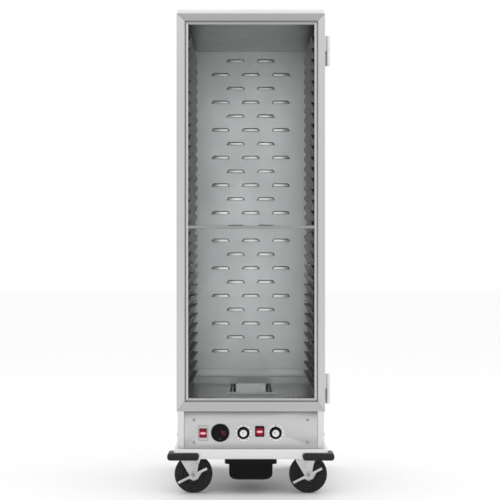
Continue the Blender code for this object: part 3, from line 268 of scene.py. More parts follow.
def tyre(name, colour, centre, level, outer):
    """A wheel's rubber: fine rings turned in its side, scuffed at the tread and dusty in its hollows."""
    finish = Finish(name, colour, 0.55)
    finish.set("Specular IOR Level", 0.25)
    across = finish.axis(level, centre)
    up = finish.axis("Z", centre)
    radius = finish.maths("SQRT", across * across + up * up)
    rings = finish.maths("SINE", radius * (2 * math.pi / RING_PITCH))
    worn = finish.steps(radius / outer, (0.90, 0.0), (0.985, 1.0))
    scuff = finish.noise((0.005, 0.012, 0.005), 5.0)
    dust = finish.steps(finish.noise(0.011, 6.0, offset=(1.0, 1.0, 6.0)), (0.42, 0.0), (0.75, 1.0))
    grey = tuple(c + 0.05 for c in colour) + (1.0,)
    finish.set("Base Color", finish.mix(finish.clamp(0.35 * dust + 0.55 * worn * scuff), finish.colour, grey))
    finish.set("Roughness", finish.clamp(0.42 + 0.20 * worn + 0.18 * dust + 0.15 * (scuff - 0.5)))
    finish.bump(0.25 * rings + scuff * worn, 0.0003, 0.35)
    return finish.material


def clear_sheet(name):
    """Clear polycarbonate: see-through, with a sheen, faint wiping marks and fine scratches."""
    finish = Finish(name, (0.93, 0.95, 0.95), 0.08)
    finish.set("Specular IOR Level", 0.5)
    wipes = finish.steps(finish.noise((0.30, 0.05, 0.035), 4.0), (0.50, 0.0), (0.80, 1.0))
    fine = finish.noise((0.0012, 0.01, 0.11), 3.0, offset=(7.0, 0.2, 3.0))
    scratch = finish.steps(fine, (0.70, 0.0), (0.74, 1.0))
    finish.set("Roughness", finish.clamp(0.06 + 0.20 * wipes + 0.2 * scratch))
    gloss = finish.node("ShaderNodeFresnel", {}, {"IOR": 1.35})
    through = finish.node("ShaderNodeBsdfTransparent", {}, {"Color": (0.975, 0.985, 0.985, 1.0)})
    veil = finish.clamp(gloss * 0.30 + 0.002 + 0.006 * wipes + 0.010 * scratch)
    sheen = Number(finish, finish.shader.outputs[0])
    blend = finish.node("ShaderNodeMixShader", {}, {0: veil, 1: through, 2: sheen})
    output = next(n for n in finish.tree.nodes if n.type == "OUTPUT_MATERIAL")
    finish.feed(output.inputs["Surface"], blend)
    return finish.material


def rocker_painted_highlight(name, centre, height):
    """Red rocker with a painted highlight: a bright band across its middle, made to glow, that fades to deep
    red.
    """
    finish = Finish(name, (0.14, 0.004, 0.018), 0.28)
    up = finish.maths("ABSOLUTE", finish.axis("Z", centre) / (height / 2))
    across = finish.maths("ABSOLUTE", finish.axis("X", centre) / (height / 2))
    grain = finish.noise(0.0016, 3.0)
    # Painted highlight: a glowing band across the middle that falls off to the sides.
    highlight_band = finish.steps(up, (0.06, 1.0), (0.30, 0.42), (0.90, 0.02))
    lamp = finish.steps(across, (0.30, 1.0), (0.95, 0.30))
    painted_glow = finish.clamp(highlight_band * lamp * (0.88 + 0.24 * grain))
    highlight_core = finish.steps(painted_glow, (0.40, 0.0), (0.90, 1.0))
    red = finish.mix(painted_glow, (0.015, 0.0, 0.002, 1.0), (0.62, 0.02, 0.08, 1.0))
    # The painted highlight glows red, with a pale painted glint at its core.
    finish.set("Emission Color", finish.mix(highlight_core, red, (1.0, 0.66, 0.74, 1.0)))
    finish.set("Emission Strength", 0.9)
    finish.set("Specular IOR Level", 0.15)
    finish.set("Base Color", finish.mix(grain, finish.colour, (0.10, 0.003, 0.012, 1.0)))
    finish.set("Roughness", 0.22 + 0.15 * grain)
    finish.bump(grain, 0.00005, 0.4)
    return finish.material


def dark_glass(name):
    """Smoked display window: deep gloss with finger marks."""
    finish = Finish(name, (0.002, 0.0022, 0.0022), 0.10)
    finish.set("Specular IOR Level", 0.06)
    prints = finish.steps(finish.noise(0.009, 5.0), (0.45, 0.0), (0.75, 1.0))
    finish.set("Roughness", finish.clamp(0.07 + 0.25 * prints))
    finish.set("Base Color", finish.mix(0.04 * prints, finish.colour, (0.05, 0.05, 0.055, 1.0)))
    finish.set("Coat Weight", 0.03)
    return finish.material


def glowing(name, colour, strength):
    """A lit figure behind the window, a little uneven along its length."""
    finish = Finish(name, (0.05, 0.004, 0.004), 0.4)
    uneven = finish.noise(0.0025, 2.0)
    dim = tuple(c * 0.6 for c in colour) + (1.0,)
    finish.set("Emission Color", finish.mix(uneven, (*colour, 1.0), dim))
    finish.set("Emission Strength", strength)
    return finish.material


def pale_floor(name):
    finish = Finish(name, (0.97, 0.97, 0.97), 0.6)
    cloud = finish.noise(0.6, 2.0)
    finish.set("Base Color", finish.shade(0.985, cloud))
    finish.set("Roughness", 0.55 + 0.1 * cloud)
    return finish.material


# ---------------------------------------------------------------- modelling helpers
def deselect():
    if bpy.context.object and bpy.context.object.mode != "OBJECT":
        bpy.ops.object.mode_set(mode="OBJECT")
    bpy.ops.object.select_all(action="DESELECT")


def take(piece):
    """Makes a piece the only one selected."""
    deselect()
    piece.select_set(True)
    bpy.context.view_layer.objects.active = piece
    return piece


def edit(piece, mode="FACE"):
    take(piece)
    bpy.ops.object.mode_set(mode="EDIT")
    bpy.ops.mesh.select_mode(type=mode)
    bpy.ops.mesh.select_all(action="DESELECT")


def done():
    bpy.ops.object.mode_set(mode="OBJECT")


def pick(piece, faces=None, edges=None, verts=None):
    """Selects what passes a test, in edit mode: of its centre and normal, its two ends, or its place."""
    mesh = bmesh.from_edit_mesh(piece.data)
    for part in list(mesh.verts) + list(mesh.edges) + list(mesh.faces):
        part.select = False
    if faces:
        for face in mesh.faces:
            face.select_set(bool(faces(face.calc_center_median(), face.normal)))
    if edges:
        for edge in mesh.edges:
            if edges(edge.verts[0].co, edge.verts[1].co):
                edge.select_set(True)
    if verts:
        for vert in mesh.verts:
            if verts(vert.co):
                vert.select_set(True)
    bmesh.update_edit_mesh(piece.data)


def finish_mesh(piece, angle=35.0):
    """Bakes the place into the mesh and shades it smooth up to an angle."""
    take(piece)
    bpy.ops.object.transform_apply(location=True, rotation=True, scale=True)
    bpy.ops.object.shade_smooth_by_angle(angle=math.radians(angle))
    return piece


def apply_modifier(piece, kind, **settings):
    take(piece)
    modifier = piece.modifiers.new(kind.lower(), kind)
    for name, value in settings.items():
        setattr(modifier, name, value)
    bpy.ops.object.modifier_apply(modifier=modifier.name)


def round_edges(piece, width, segments=2, angle=30.0):
    apply_modifier(piece, "BEVEL", width=width, segments=segments, limit_method="ANGLE",
                   angle_limit=math.radians(angle), use_clamp_overlap=True, miter_outer="MITER_ARC")


def joined(pieces, name):
    """Joins pieces into the first one."""
    take(pieces[0])
    for piece in pieces:
        piece.select_set(True)
    if len(pieces) > 1:
        bpy.ops.object.join()
    pieces[0].name = name
    return pieces[0]


def fit(piece, body, material):
    """Gives a finished piece its body and its material."""
    piece.data.materials.clear()
    piece.data.materials.append(material)
    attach(piece, body)
    return piece


def boxed(name, centre, extent):
    """A block, as a start for a shape."""
    deselect()
    bpy.ops.mesh.primitive_cube_add(size=1.0, location=centre)
    piece = bpy.context.object
    piece.name = name
    piece.scale = extent
    bpy.ops.object.transform_apply(location=True, rotation=True, scale=True)
    return piece


def disc(name, centre, facing, radius, thickness, front=(), back=(), segments=48, rim=0.0, rim_segments=3,
         bore=False):
    """A round piece whose front faces a way. Each step of front or back narrows the flat by an inset
    and moves it out by a depth. rim rounds the outer corners, and bore opens the middle."""
    out = OUTWARD[facing]
    deselect()
    bpy.ops.mesh.primitive_cylinder_add(vertices=segments, radius=radius, depth=thickness)
    piece = bpy.context.object
    piece.name = name
    if rim:
        edit(piece, "EDGE")
        pick(piece, edges=lambda a, b: abs(a.z - b.z) < 1e-7)
        bpy.ops.mesh.bevel(offset=rim, segments=rim_segments, profile=0.5)
        done()
    for side, steps in ((1, front), (-1, back)):
        if not steps:
            continue
        edit(piece)
        pick(piece, faces=lambda c, n: n.z * side > 0.99 and c.to_2d().length < 1e-5)
        for inset, depth in steps:
            bpy.ops.mesh.inset(thickness=inset, depth=depth)
        done()
    if bore:
        edit(piece)
        pick(piece, faces=lambda c, n: abs(n.z) > 0.99 and c.to_2d().length < 1e-5)
        bpy.ops.mesh.bridge_edge_loops()
        done()
    piece.matrix_world = Matrix.Translation(centre) @ out.to_track_quat("Z", "Y").to_matrix().to_4x4()
    bpy.context.view_layer.update()
    return finish_mesh(piece)


def copies(master, name, places, facing="-Y", turns=(0.0,)):
    """Copies of a model made at the origin with its top to +Z, each with its own mesh, joined into one.
    Facing Z, they stand half turned about it."""
    made = []
    swing = OUTWARD[facing].to_track_quat("Z", "Y").to_matrix().to_4x4()
    for i, place in enumerate(places):
        mesh = master.data.copy()
        mesh.transform(Matrix.Translation(place) @ swing @ Matrix.Rotation(turns[i % len(turns)], 4, "Z"))
        piece = bpy.data.objects.new(f"{name}_{i}", mesh)
        bpy.context.scene.collection.objects.link(piece)
        made.append(piece)
    return joined(made, name)


def softened(node, width, material, segments=2, smooth=40.0):
    """A copy of a CAD node with its edges rounded, which stands for it."""
    piece = bpy.data.objects.new(node + "_shell", frame["nodes"][node].data.copy())
    bpy.context.scene.collection.objects.link(piece)
    edit(piece, "VERT")
    bpy.ops.mesh.select_all(action="SELECT")
    bpy.ops.mesh.remove_doubles(threshold=0.000005)
    bpy.ops.mesh.dissolve_limited(angle_limit=math.radians(0.6))
    done()
    if width:
        round_edges(piece, width, segments)
    finish_mesh(piece, smooth)
    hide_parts(node)
    return fit(piece, BODY_OF[node], material)


# ---------------------------------------------------------------- finishes
def body_metal(grain):
    return rolled_metal(f"aluminium_body_{grain.lower()}", (0.76, 0.76, 0.76), 0.34, grain)


BODY_Z, BODY_Y, BODY_X = (body_metal(grain) for grain in "ZYX")
LINER_Z = rolled_metal("aluminium_baffle", (0.66, 0.66, 0.66), 0.36, "Z", clouds=0.3)
# Painted shade: the slides, ceiling and floor are the baffle's aluminium made darker for the shade inside the
# cabinet.
SLIDES_PAINTED_SHADE = rolled_metal("aluminium_slides_painted_shade", (0.17, 0.17, 0.172), 0.40, "Y", clouds=0.3)
CEILING_PAINTED_SHADE = rolled_metal("aluminium_ceiling_painted_shade", (0.34, 0.34, 0.34), 0.34, "X", clouds=0.3)
LINER_FLOOR_PAINTED_SHADE = rolled_metal("aluminium_floor_painted_shade", (0.46, 0.46, 0.46), 0.30, "X", clouds=0.2)
# Painted shade: near black, for the shade inside each louvre.
LOUVRE_SHADE_PAINT = rolled_metal("louvre_painted_shade", (0.16, 0.16, 0.16), 0.42, "X", clouds=0.2)
# Painted highlight: near white, brighter than the baffle, for light caught on each lip.
LOUVRE_LIP_HIGHLIGHT = rolled_metal("louvre_lip", (0.93, 0.93, 0.93), 0.30, "X", clouds=0.05, streaks=0.03)
FRAME_Z = rolled_metal("door_extrusion_upright", (0.60, 0.60, 0.60), 0.30, "Z", streaks=0.14)
# Painted shade: the top and bottom rails are the stiles' extrusion made darker for how light falls on them.
FRAME_TOP_SHADED = rolled_metal("door_extrusion_top_painted_shade", (0.44, 0.44, 0.44), 0.30, "X", streaks=0.14)
FRAME_LOW_SHADED = rolled_metal("door_extrusion_bottom_painted_shade", (0.50, 0.50, 0.50), 0.30, "X", streaks=0.14)
BAR = rolled_metal("glazing_bar_metal", (0.34, 0.34, 0.34), 0.32, "X", streaks=0.10)
FASCIA = rolled_metal("fascia_sheet", (0.60, 0.60, 0.60), 0.40, "X", streaks=0.08, clouds=0.06)
ZINC = zinc_plate("zinc_plate", (0.62, 0.62, 0.61), 0.36)
HINGE = rolled_metal("hinge_steel", (0.70, 0.70, 0.70), 0.26, "Z", scuffs=0.2)
BUMPER = moulded("bumper_rubber", (0.005, 0.005, 0.0055), 0.42, grain=0.0012, depth=0.00008, dust=0.05,
                 gloss=0.30)
GASKET = moulded("gasket_rubber", (0.035, 0.035, 0.035), 0.6, gloss=0.2)
GROOVE = moulded("groove_strip_rubber", (0.20, 0.20, 0.20), 0.55, grain=0.0011, dust=0.10, gloss=0.2)
BLACK = moulded("black_plastic", (0.004, 0.004, 0.0045), 0.35, dust=0.02, gloss=0.08)
PAN = moulded("condensate_pan_plastic", (0.003, 0.003, 0.0032), 0.34, grain=0.0010, dust=0.01, gloss=0.08)
LIGHT = moulded("light_plastic", (0.56, 0.56, 0.55), 0.40, dust=0.0, gloss=0.2)
OUTLINE = moulded("bezel_outline", (0.26, 0.26, 0.26), 0.45, dust=0.0, gloss=0.2)
CONTROL = moulded("control_plastic", (0.75, 0.73, 0.68), 0.5, dust=0.1)
CLEAR = clear_sheet("clear_polycarbonate")
STAINLESS = rolled_metal("stainless_pan", (0.40, 0.40, 0.40), 0.27, "Y", scuffs=0.3)
# Painted highlight: the pan's steel lip made near white and less metallic than the pan, for light caught on
# it.
PAN_LIP_HIGHLIGHT = rolled_metal("water_pan_lip", (0.93, 0.93, 0.93), 0.24, "X", streaks=0.03, scuffs=0.2, metallic=0.3)
DARK_STEEL = rolled_metal("dark_steel", (0.25, 0.25, 0.26), 0.45, "Y", scuffs=0.6)
FAN_METAL = rolled_metal("fan_aluminium", (0.70, 0.70, 0.70), 0.4, "X")
SILVER = rolled_metal("knob_cap_aluminium", (0.74, 0.74, 0.74), 0.26, "X", streaks=0.04, clouds=0.04,
                      scuffs=0.1)
DIAL = moulded("dial_white", (0.80, 0.80, 0.80), 0.45, dust=0.0)
INK = moulded("dial_ink", (0.012, 0.012, 0.012), 0.5, dust=0.0, gloss=0.1)
SCREW = rolled_metal("screw_steel", (0.36, 0.36, 0.355), 0.30, "X", scuffs=0.5)
WINDOW = dark_glass("display_window")
FIGURES = glowing("display_figures", (0.34, 0.012, 0.06), 0.85)
LAMP = glowing("display_lamp", (0.9, 0.9, 0.95), 0.8)

NODE_FINISH = {
    "rear_panel": BODY_Z, "ceiling_liner": CEILING_PAINTED_SHADE, "cabinet_floor": LINER_FLOOR_PAINTED_SHADE, "pan_runner_left": BODY_Y,
    "pan_runner_right": BODY_Y, "air_baffle": LINER_Z, "rack_left_lower": SLIDES_PAINTED_SHADE, "rack_left_upper": SLIDES_PAINTED_SHADE,
    "rack_right_lower": SLIDES_PAINTED_SHADE, "rack_right_upper": SLIDES_PAINTED_SHADE, "door_gasket": GASKET, "upper_pane": CLEAR,
    "lower_pane": CLEAR, "power_inlet": BLACK, "thermostat_body": CONTROL, "humidity_control_body": CONTROL,
    "heating_element": DARK_STEEL, "fan_motor": DARK_STEEL, "fan_impeller": FAN_METAL,
}

SHELLS = [
    ("base_chassis", 0.0010, BODY_X), ("side_panel_left", 0.0008, BODY_Z),
    ("side_panel_right", 0.0008, BODY_Z), ("top_panel", 0.0008, BODY_Y), ("control_fascia", 0.0008, FASCIA),
    ("glazing_bar", 0.0005, BAR), ("door_top_rail", 0.0007, FRAME_TOP_SHADED),
    ("door_bottom_rail", 0.0007, FRAME_LOW_SHADED), ("door_left_stile", 0.0007, FRAME_Z),
    ("door_right_stile", 0.0007, FRAME_Z), ("hinge_bracket_lower", 0.0004, HINGE),
    ("hinge_bracket_upper", 0.0004, HINGE), ("hinge_leaf_lower", 0.0004, HINGE),
    ("hinge_leaf_upper", 0.0004, HINGE), ("water_pan", 0.0004, STAINLESS),
    ("power_switch_bezel", 0.0003, LIGHT), ("mode_switch_bezel", 0.0003, BLACK),
    ("condensate_pan", 0.0007, PAN), ("brake_lever_front_left", 0.0006, ZINC),
    ("brake_lever_front_right", 0.0006, ZINC),
]
CORNERS = [f"{end}_{hand}" for end in ("front", "rear") for hand in ("left", "right")]


# ---------------------------------------------------------------- pieces
def make_screw(name, radius, height):
    """Pan head with a cross recess, top to +Z, seat at 0."""
    deselect()
    bpy.ops.mesh.primitive_cylinder_add(vertices=20, radius=radius, depth=height,
                                        location=(0.0, 0.0, height / 2))
    head = bpy.context.object
    head.name = name
    edit(head, "EDGE")
    pick(head, edges=lambda a, b: a.z > 1e-5 and b.z > 1e-5)
    bpy.ops.mesh.bevel(offset=height * 0.7, segments=4, profile=0.55)
    done()
    for turn in (0.0, math.pi / 2):
        blade = boxed("blade", (0.0, 0.0, height), (radius * 1.15, radius * 0.24, height * 1.1))
        blade.rotation_euler.z = turn
        bpy.context.view_layer.update()
        apply_modifier(head, "BOOLEAN", operation="DIFFERENCE", object=blade, solver="EXACT")
        bpy.data.objects.remove(blade)
    return finish_mesh(head, 40)


def make_rivet(name, radius, height):
    """Domed blind rivet with its broken stem, top to +Z, seat at 0."""
    stem = ((radius * 0.25, 0.0), (radius * 0.08, -height * 0.35))
    return disc(name, Vector((0, 0, height / 2)), "Z", radius, height, front=stem, segments=20,
                rim=height * 0.8, rim_segments=4)


def make_hex(name, radius, height, stud):
    """Hexagon nut with chamfered corners on the end of its stud, top to +Z, seat at 0."""
    deselect()
    bpy.ops.mesh.primitive_cylinder_add(vertices=6, radius=radius, depth=height,
                                        location=(0.0, 0.0, height / 2))
    nut = bpy.context.object
    nut.name = name
    edit(nut)
    pick(nut, faces=lambda c, n: n.z > 0.99)
    bpy.ops.mesh.inset(thickness=radius * 0.10, depth=height * 0.12)
    bpy.ops.mesh.inset(thickness=radius * 0.24, depth=0.0)
    bpy.ops.mesh.inset(thickness=0.0003, depth=-height * 0.15)
    bpy.ops.mesh.inset(thickness=0.0002, depth=height * 0.15 + stud)
    done()
    round_edges(nut, 0.0003, 1)
    return finish_mesh(nut, 30)


def turn_about(piece, centre, angle):
    """Turns a piece's mesh about a line along Y through a centre."""
    turn = Matrix.Rotation(angle, 4, "Y")
    piece.data.transform(Matrix.Translation(centre) @ turn @ Matrix.Translation(-centre))


def drop(*pieces):
    for piece in pieces:
        bpy.data.objects.remove(piece)


def build_shells():
    for node, width, material in SHELLS:
        softened(node, width, material)
    for corner in CORNERS:
        softened(f"bumper_{corner}", 0.0, BUMPER, smooth=60.0)
        softened(f"caster_plate_{corner}", 0.0006, ZINC)
        softened(f"caster_fork_{corner}", 0.0007, ZINC)
    for node, material in NODE_FINISH.items():
        mesh = frame["nodes"][node].data
        mesh.materials.clear()
        mesh.materials.append(material)


def build_wheels():
    """Wheels turned from a disc: hub, dished web and rim on both faces."""
    face = ((0.0024, -0.0022), (0.0026, 0.0), (0.0024, 0.0022), (0.0040, 0.0), (0.0030, -0.0026),
            (0.0030, 0.0), (0.0026, 0.0020), (0.0040, 0.0), (0.0034, -0.0042), (0.0130, -0.0006),
            (0.0020, 0.0078), (0.0040, 0.0), (0.0010, -0.0010), (0.0060, 0.0))
    hub_proud = 0.006
    for corner in CORNERS:
        node = f"caster_wheel_{corner}"
        centre = middle(node)
        radius = size(node).z / 2
        width = min(size(node).x, size(node).y) - hub_proud
        rolls_on_y = size(node).x > size(node).y
        facing, across = ("-Y", "X") if rolls_on_y else ("X", "Y")
        wheel = disc(node + "_tyre", Vector((centre.x, centre.y, radius)), facing, radius, width, face, face,
                     segments=96, rim=0.0065, rim_segments=5, bore=True)
        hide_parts(node)
        rubber = tyre(f"tyre_{corner}", (0.010, 0.010, 0.011), tuple(centre), across, radius)
        fit(wheel, BODY_OF[node], rubber)


def build_caster_bolts():
    nut = make_hex("nut", 0.0075, 0.0045, 0.0015)
    bolt = make_hex("bolt", 0.0065, 0.0040, 0.0)
    for corner in CORNERS:
        fork_low, fork_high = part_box(f"caster_fork_{corner}")
        wheel = f"caster_wheel_{corner}"
        axle = middle(wheel)
        if size(wheel).x > size(wheel).y:
            ends = {"-Y": Vector((axle.x, fork_low.y, axle.z)),
                    "Y": Vector((axle.x, fork_high.y, axle.z))}
        else:
            ends = {"-X": Vector((fork_low.x, axle.y, axle.z)),
                    "X": Vector((fork_high.x, axle.y, axle.z))}
        for (facing, place), end in zip(ends.items(), ("outer", "inner")):
            piece = copies(nut, f"axle_nut_{corner}_{end}", [place], facing)
            fit(piece, f"swivel_{corner}", SCREW)
        plate_low, plate_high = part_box(f"caster_plate_{corner}")
        inset = 0.009
        places = [Vector((x, y, plate_low.z)) for x in (plate_low.x + inset, plate_high.x - inset)
                  for y in (plate_low.y + inset, plate_high.y - inset)]
        fit(copies(bolt, f"plate_bolts_{corner}", places, "-Z"), "cabinet", SCREW)
    drop(nut, bolt)


def build_display():
    low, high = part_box("display_module")
    centre = middle("display_module")
    radius = (high.x - low.x) / 2
    depth = high.y - low.y
    case = disc("display_module_case", centre, "-Y", radius * 0.88, depth, segments=64)
    collar_depth = 0.0038
    collar = disc("display_module_bezel", Vector((centre.x, low.y + collar_depth / 2, centre.z)), "-Y", radius,
                  collar_depth, front=((0.0022, 0.0), (0.0008, -0.0008)), segments=96, rim=0.0010)
    joined([case, collar], case.name)
    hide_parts("display_module")
    fit(case, "cabinet", BLACK)
    pane = disc("display_window", Vector((centre.x, low.y + 0.0008, centre.z)), "-Y", radius - 0.0031, 0.0010,
                front=((0.0012, 0.0002),), segments=96, rim=0.0002, rim_segments=2)
    fit(pane, "cabinet", WINDOW)
    face = low.y + 0.0001
    tall, thick, gap = 0.0135, 0.0014, 0.0006
    wide = tall * 0.52
    lit = {"7": "abc", "5": "afgcd"}
    bars = {"a": (0.5, 1.0, 1), "b": (1.0, 0.75, 0), "c": (1.0, 0.25, 0), "d": (0.5, 0.0, 1),
            "f": (0.0, 0.75, 0), "g": (0.5, 0.5, 1)}
    made = []
    for digit, start in (("7", 0.001), ("5", 0.0115)):
        for bar in lit[digit]:
            u, v, level = bars[bar]
            length = (wide if level else tall / 2) - gap
            place = Vector((centre.x + start + u * wide, face,
                            centre.z - 0.001 - tall / 2 + v * tall))
            extent = (length, 0.0004, thick) if level else (thick, 0.0004, length)
            segment = boxed("segment", place, extent)
            edit(segment, "EDGE")
            pick(segment, edges=lambda a, b: abs(a.y - b.y) > 0.0002)
            bpy.ops.mesh.bevel(offset=thick * 0.46, segments=1)
            done()
            made.append(segment)
    fit(finish_mesh(joined(made, "display_figures")), "cabinet", FIGURES)
    lamp = disc("display_lamp", Vector((centre.x, face, centre.z - 0.021)), "-Y", 0.0011, 0.0006, rim=0.0002,
                front=((0.0003, 0.0001),), segments=16)
    fit(lamp, "cabinet", LAMP)


def build_knob(node):
    """Black skirt with a fluted grip and a bright cap with its pointer."""
    low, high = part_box(node)
    centre = middle(node)
    radius = (high.x - low.x) / 2
    height = high.y - low.y
    seat = high.y
    skirt_depth, grip_inset, flutes = 0.0028, 0.0072, 72
    grip_rise = height - skirt_depth - 0.0052
    skirt = disc(node + "_grip", Vector((centre.x, seat - skirt_depth / 2, centre.z)), "-Y", radius,
                 skirt_depth, segments=flutes, rim=0.0007,
                 front=((0.0016, 0.0010), (0.0030, 0.0012), (0.0010, 0.0014), (0.0008, grip_rise),
                        (0.0012, 0.0012), (0.0020, 0.0), (0.0004, -0.0009)))
    grip = radius - grip_inset

    def on_a_flute(c, n):
        out = Vector((c.x - centre.x, c.z - centre.z))
        step = int((math.atan2(out.y, out.x) + math.pi) / (2 * math.pi) * flutes)
        return abs(n.y) < 0.3 and out.length < grip + 0.001 and step % 3 == 0

    edit(skirt)
    pick(skirt, faces=on_a_flute)
    bpy.ops.mesh.inset(thickness=0.00022, depth=-0.0007, use_individual=True)
    done()
    finish_mesh(skirt, 30)
    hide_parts(node)
    fit(skirt, node, BLACK)
    cap_radius = radius - grip_inset - 0.0032 + 0.0018
    rings = ((cap_radius * 0.12, 0.0003), (cap_radius * 0.08, -0.0002), (cap_radius * 0.3, 0.0))
    cap = disc(node + "_cap", Vector((centre.x, low.y + 0.0013, centre.z)), "-Y", cap_radius, 0.0016,
               front=rings, segments=72, rim=0.0005)
    fit(cap, node, SILVER)
    pointer = boxed(node + "_pointer", Vector((centre.x, low.y + 0.0005, centre.z + cap_radius * 0.42)),
                    (0.0022, 0.0010, cap_radius * 0.80))
    edit(pointer, "VERT")
    pick(pointer, verts=lambda p: p.z > centre.z + cap_radius * 0.6)
    bpy.ops.transform.resize(value=(0.35, 1.0, 1.0))
    done()
    round_edges(pointer, 0.0003, 2)
    turn_about(pointer, centre, math.radians(-38 if node.startswith("temp") else -62))
    fit(finish_mesh(pointer), node, INK)


def build_dial(node):
    """Printed dial plate round a knob: a bright ring with a long or short mark for each setting."""
    centre = middle(node)
    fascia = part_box("control_fascia")[0].y
    ring = disc(node + "_dial", Vector((centre.x, fascia - 0.0004, centre.z)), "-Y", 0.0305, 0.0006,
                front=((0.0004, 0.0002),), segments=96, rim=0.0002, rim_segments=2)
    fit(ring, "cabinet", DIAL)
    marks = []
    count, bottom = 12, 6
    for step in range(count):
        if step == bottom:
            continue
        reach, wide, tall = (0.0268, 0.0026, 0.0046) if step % 2 == 0 else (0.0276, 0.0018, 0.0030)
        mark = boxed("mark", (centre.x, fascia - 0.0009, centre.z + reach), (wide, 0.0003, tall))
        edit(mark, "EDGE")
        pick(mark, edges=lambda a, b: abs(a.y - b.y) > 0.0002)
        bpy.ops.mesh.bevel(offset=0.0004, segments=2)
        done()
        turn_about(mark, centre, 2 * math.pi * step / count)
        marks.append(mark)
    fit(finish_mesh(joined(marks, node + "_dial_marks")), "cabinet", INK)


def build_rockers():
    for place in ("power", "mode"):
        node = f"{place}_rocker"
        centre = middle(node)
        # Both rockers get the painted highlight as a glow.
        softened(node, 0.0009, rocker_painted_highlight(f"{place}_rocker_red_painted_glow", tuple(centre), size(node).z), segments=3)


def build_screws():
    screw = make_screw("pan_screw", 0.0052, 0.0026)
    low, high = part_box("control_fascia")
    across = 0.204
    rows = (low.z + 0.021, low.z + 0.102)
    places = [Vector((side * across, low.y, z)) for side in (-1, 1) for z in rows]
    fit(copies(screw, "fascia_screws", places, "-Y", (0.35, 0.9, 0.1, 1.2)), "cabinet", SCREW)

    low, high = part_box("rear_panel")
    edge = 0.010
    columns = [low.x + edge + (high.x - low.x - 2 * edge) * i / 3 for i in range(4)]
    rows = [low.z + edge + (high.z - low.z - 2 * edge) * i / 9 for i in range(10)]
    places = [Vector((x, high.y, z)) for x in (columns[0], columns[-1]) for z in rows]
    places += [Vector((x, high.y, z)) for x in columns[1:-1] for z in (rows[0], rows[-1])]
    fit(copies(screw, "rear_panel_screws", places, "Y", (0.2, 1.1, 0.7)), "cabinet", SCREW)

    rivet = make_rivet("rivet", 0.0032, 0.0012)
    skirt_low, skirt_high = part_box("top_panel")
    level = skirt_low.z + 0.014
    for hand, x, facing in (("left", skirt_low.x, "-X"), ("right", skirt_high.x, "X")):
        places = [Vector((x, skirt_low.y + 0.05 + (skirt_high.y - skirt_low.y - 0.1) * i / 4, level))
                  for i in range(5)]
        fit(copies(rivet, f"roof_rivets_{hand}", places, facing), "cabinet", SCREW)
    low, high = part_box("air_baffle")
    places = [Vector((side * (high.x - 0.012), low.y + 0.010, low.z + 0.03 + (high.z - low.z - 0.06) * i / 5))
              for side in (-1, 1) for i in range(6)]
    fit(copies(rivet, "baffle_rivets", places, "-Y"), "cabinet", SCREW)
    for end in ("lower", "upper"):
        low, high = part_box(f"hinge_bracket_{end}")
        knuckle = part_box(f"hinge_leaf_{end}")[0].z
        places = [Vector((low.x + 0.002, high.y - 0.012, low.z + (knuckle - low.z) * share))
                  for share in (0.25, 0.75)]
        fit(copies(screw, f"hinge_screws_{end}", places, "X", (0.5, 1.0)), "cabinet", SCREW)
    drop(screw, rivet)


def build_groove_strip():
    """Grey rubber strip pressed into the groove round the door frame."""
    inner, outer, seat, proud = 0.0077, 0.0123, 0.0058, 0.0022
    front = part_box("door_left_stile")[0].y
    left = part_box("door_left_stile")[1].x
    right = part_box("door_right_stile")[0].x
    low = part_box("door_bottom_rail")[1].z
    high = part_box("door_top_rail")[0].z
    wide = outer - inner
    deep = seat - proud
    level = front + (seat + proud) / 2
    reach = (inner + outer) / 2
    sides = [((left - reach, (low + high) / 2), (wide, high - low + 2 * outer)),
             ((right + reach, (low + high) / 2), (wide, high - low + 2 * outer)),
             (((left + right) / 2, low - reach), (right - left + 2 * inner, wide)),
             (((left + right) / 2, high + reach), (right - left + 2 * inner, wide))]
    strips = []
    for (x, z), (across, tall) in sides:
        strip = boxed("strip", (x, level, z), (across, deep, tall))
        round_edges(strip, 0.0010, 3)
        strips.append(strip)
    fit(finish_mesh(joined(strips, "door_groove_strip")), "door", GROOVE)


def louvre_places():
    """Rows of two and three louvres in turn, from the top of the baffle down, as it is pressed."""
    rows, spacing, margin = 22, 0.122, 0.036
    low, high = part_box("air_baffle")
    top = high.z - margin
    bottom = low.z + 2 * margin
    for row in range(rows):
        level = top - row * (top - bottom) / (rows - 1)
        for column in ((-0.5, 0.5) if row % 2 == 0 else (-1, 0, 1)):
            yield column * spacing, level


def build_louvres():
    """Painted shade and a painted highlight at each louvre: a dark sheet over it for the shade in its opening,
    and a bright flat lip across its mouth for light caught there.
    """
    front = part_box("air_baffle")[0].y
    half_low, half_high, tall, lean = 0.0365, 0.0290, 0.0120, 0.0096
    proud, lip_drop, lip_narrowing = 0.0002, 0.0020, 0.90
    shade_sheet = boxed("shade_sheet", (0.0, 0.0, 0.0), (2 * half_low, 0.0008, tall))
    edit(shade_sheet, "VERT")
    pick(shade_sheet, verts=lambda p: p.z > 0)
    bpy.ops.transform.resize(value=(half_high / half_low, 1.0, 1.0))
    bpy.ops.transform.translate(value=(0.0, -lean, 0.0))
    done()
    round_edges(shade_sheet, 0.0003, 1)
    lip = boxed("lip", (0.0, 0.0, 0.0), (0.064, 0.0012, 0.0082))
    edit(lip, "VERT")
    pick(lip, verts=lambda p: p.z > 0)
    bpy.ops.transform.resize(value=(lip_narrowing, 1.0, 1.0))
    done()
    round_edges(lip, 0.0004, 2)
    places = list(louvre_places())
    shade_sheet_places = [Vector((x, front - proud, z)) for x, z in places]
    # Dark sheets on the louvres, as painted shade.
    fit(copies(finish_mesh(shade_sheet), "louvre_shade_sheets", shade_sheet_places, "Z"), "cabinet", LOUVRE_SHADE_PAINT)
    lips = [Vector((x, front - proud, z - lip_drop)) for x, z in places]
    # The lips' near-white finish is a painted highlight.
    fit(copies(finish_mesh(lip), "louvre_lips", lips, "Z"), "cabinet", LOUVRE_LIP_HIGHLIGHT)
    drop(shade_sheet, lip)


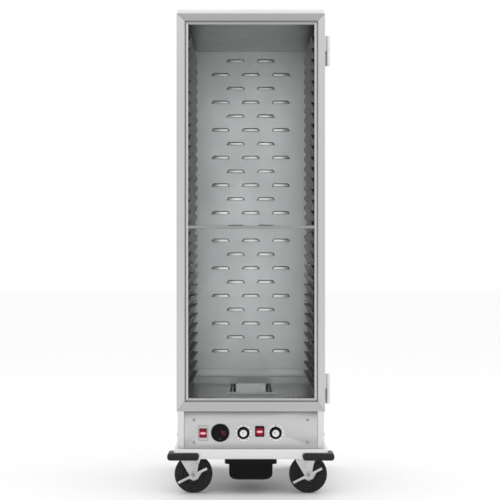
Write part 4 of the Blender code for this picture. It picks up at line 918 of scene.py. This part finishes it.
def build_pan_lip():
    """The water pan's rolled front lip, in a near-white painted highlight."""
    low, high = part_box("water_pan")
    extent = Vector((high.x - low.x, 0.0060, 0.0046))
    lip = boxed("water_pan_lip", (0.0, low.y + extent.y / 2, high.z - extent.z / 2 + 0.0004), extent)
    round_edges(lip, 0.0018, 4)
    fit(finish_mesh(lip), "water_pan", PAN_LIP_HIGHLIGHT)


def build_bezel_outline():
    """A fine shadow line round the power switch's bezel, where it meets the fascia."""
    low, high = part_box("power_switch_bezel")
    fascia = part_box("control_fascia")[0].y
    margin = 0.0012
    centre = Vector(((low.x + high.x) / 2, fascia - 0.0003, (low.z + high.z) / 2))
    extent = (high.x - low.x + 2 * margin, 0.0005, high.z - low.z + 2 * margin)
    outline = boxed("power_bezel_outline", centre, extent)
    edit(outline, "EDGE")
    pick(outline, edges=lambda a, b: abs(a.y - b.y) > 0.0002)
    bpy.ops.mesh.bevel(offset=0.0030, segments=3)
    done()
    edit(outline)
    pick(outline, faces=lambda c, n: abs(n.y) > 0.99)
    bpy.ops.mesh.inset(thickness=2 * margin)
    bpy.ops.mesh.bridge_edge_loops()
    done()
    fit(finish_mesh(outline), "cabinet", OUTLINE)


def build_inlet_pins():
    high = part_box("power_inlet")[1]
    centre = middle("power_inlet")
    pins = []
    for x, z in ((-0.007, -0.002), (0.007, -0.002), (0.0, 0.003)):
        pin = boxed("pin", Vector((centre.x + x, high.y - 0.0105, centre.z + z)), (0.0020, 0.0170, 0.0040))
        edit(pin)
        pick(pin, faces=lambda c, n: n.y > 0.99)
        bpy.ops.mesh.inset(thickness=0.0004, depth=0.0008)
        done()
        pins.append(pin)
    fit(finish_mesh(joined(pins, "inlet_pins")), "cabinet", SCREW)


def build_floor_stage():
    deselect()
    bpy.ops.mesh.primitive_plane_add(size=2.0, location=(0.0, 1.5, 0.0))
    floor = bpy.context.object
    floor.name = "studio_floor"
    floor.scale = (40.0, 40.0, 1.0)
    bpy.ops.object.transform_apply(location=True, rotation=True, scale=True)
    floor.data.materials.append(pale_floor("studio_floor"))


set_camera()
set_lights()
build_floor_stage()
build_shells()
build_wheels()
build_caster_bolts()
build_groove_strip()
build_louvres()
build_pan_lip()
build_bezel_outline()
build_display()
for knob in ("temperature_knob", "humidity_knob"):
    build_knob(knob)
    build_dial(knob)
build_rockers()
build_screws()
build_inlet_pins()
deselect()
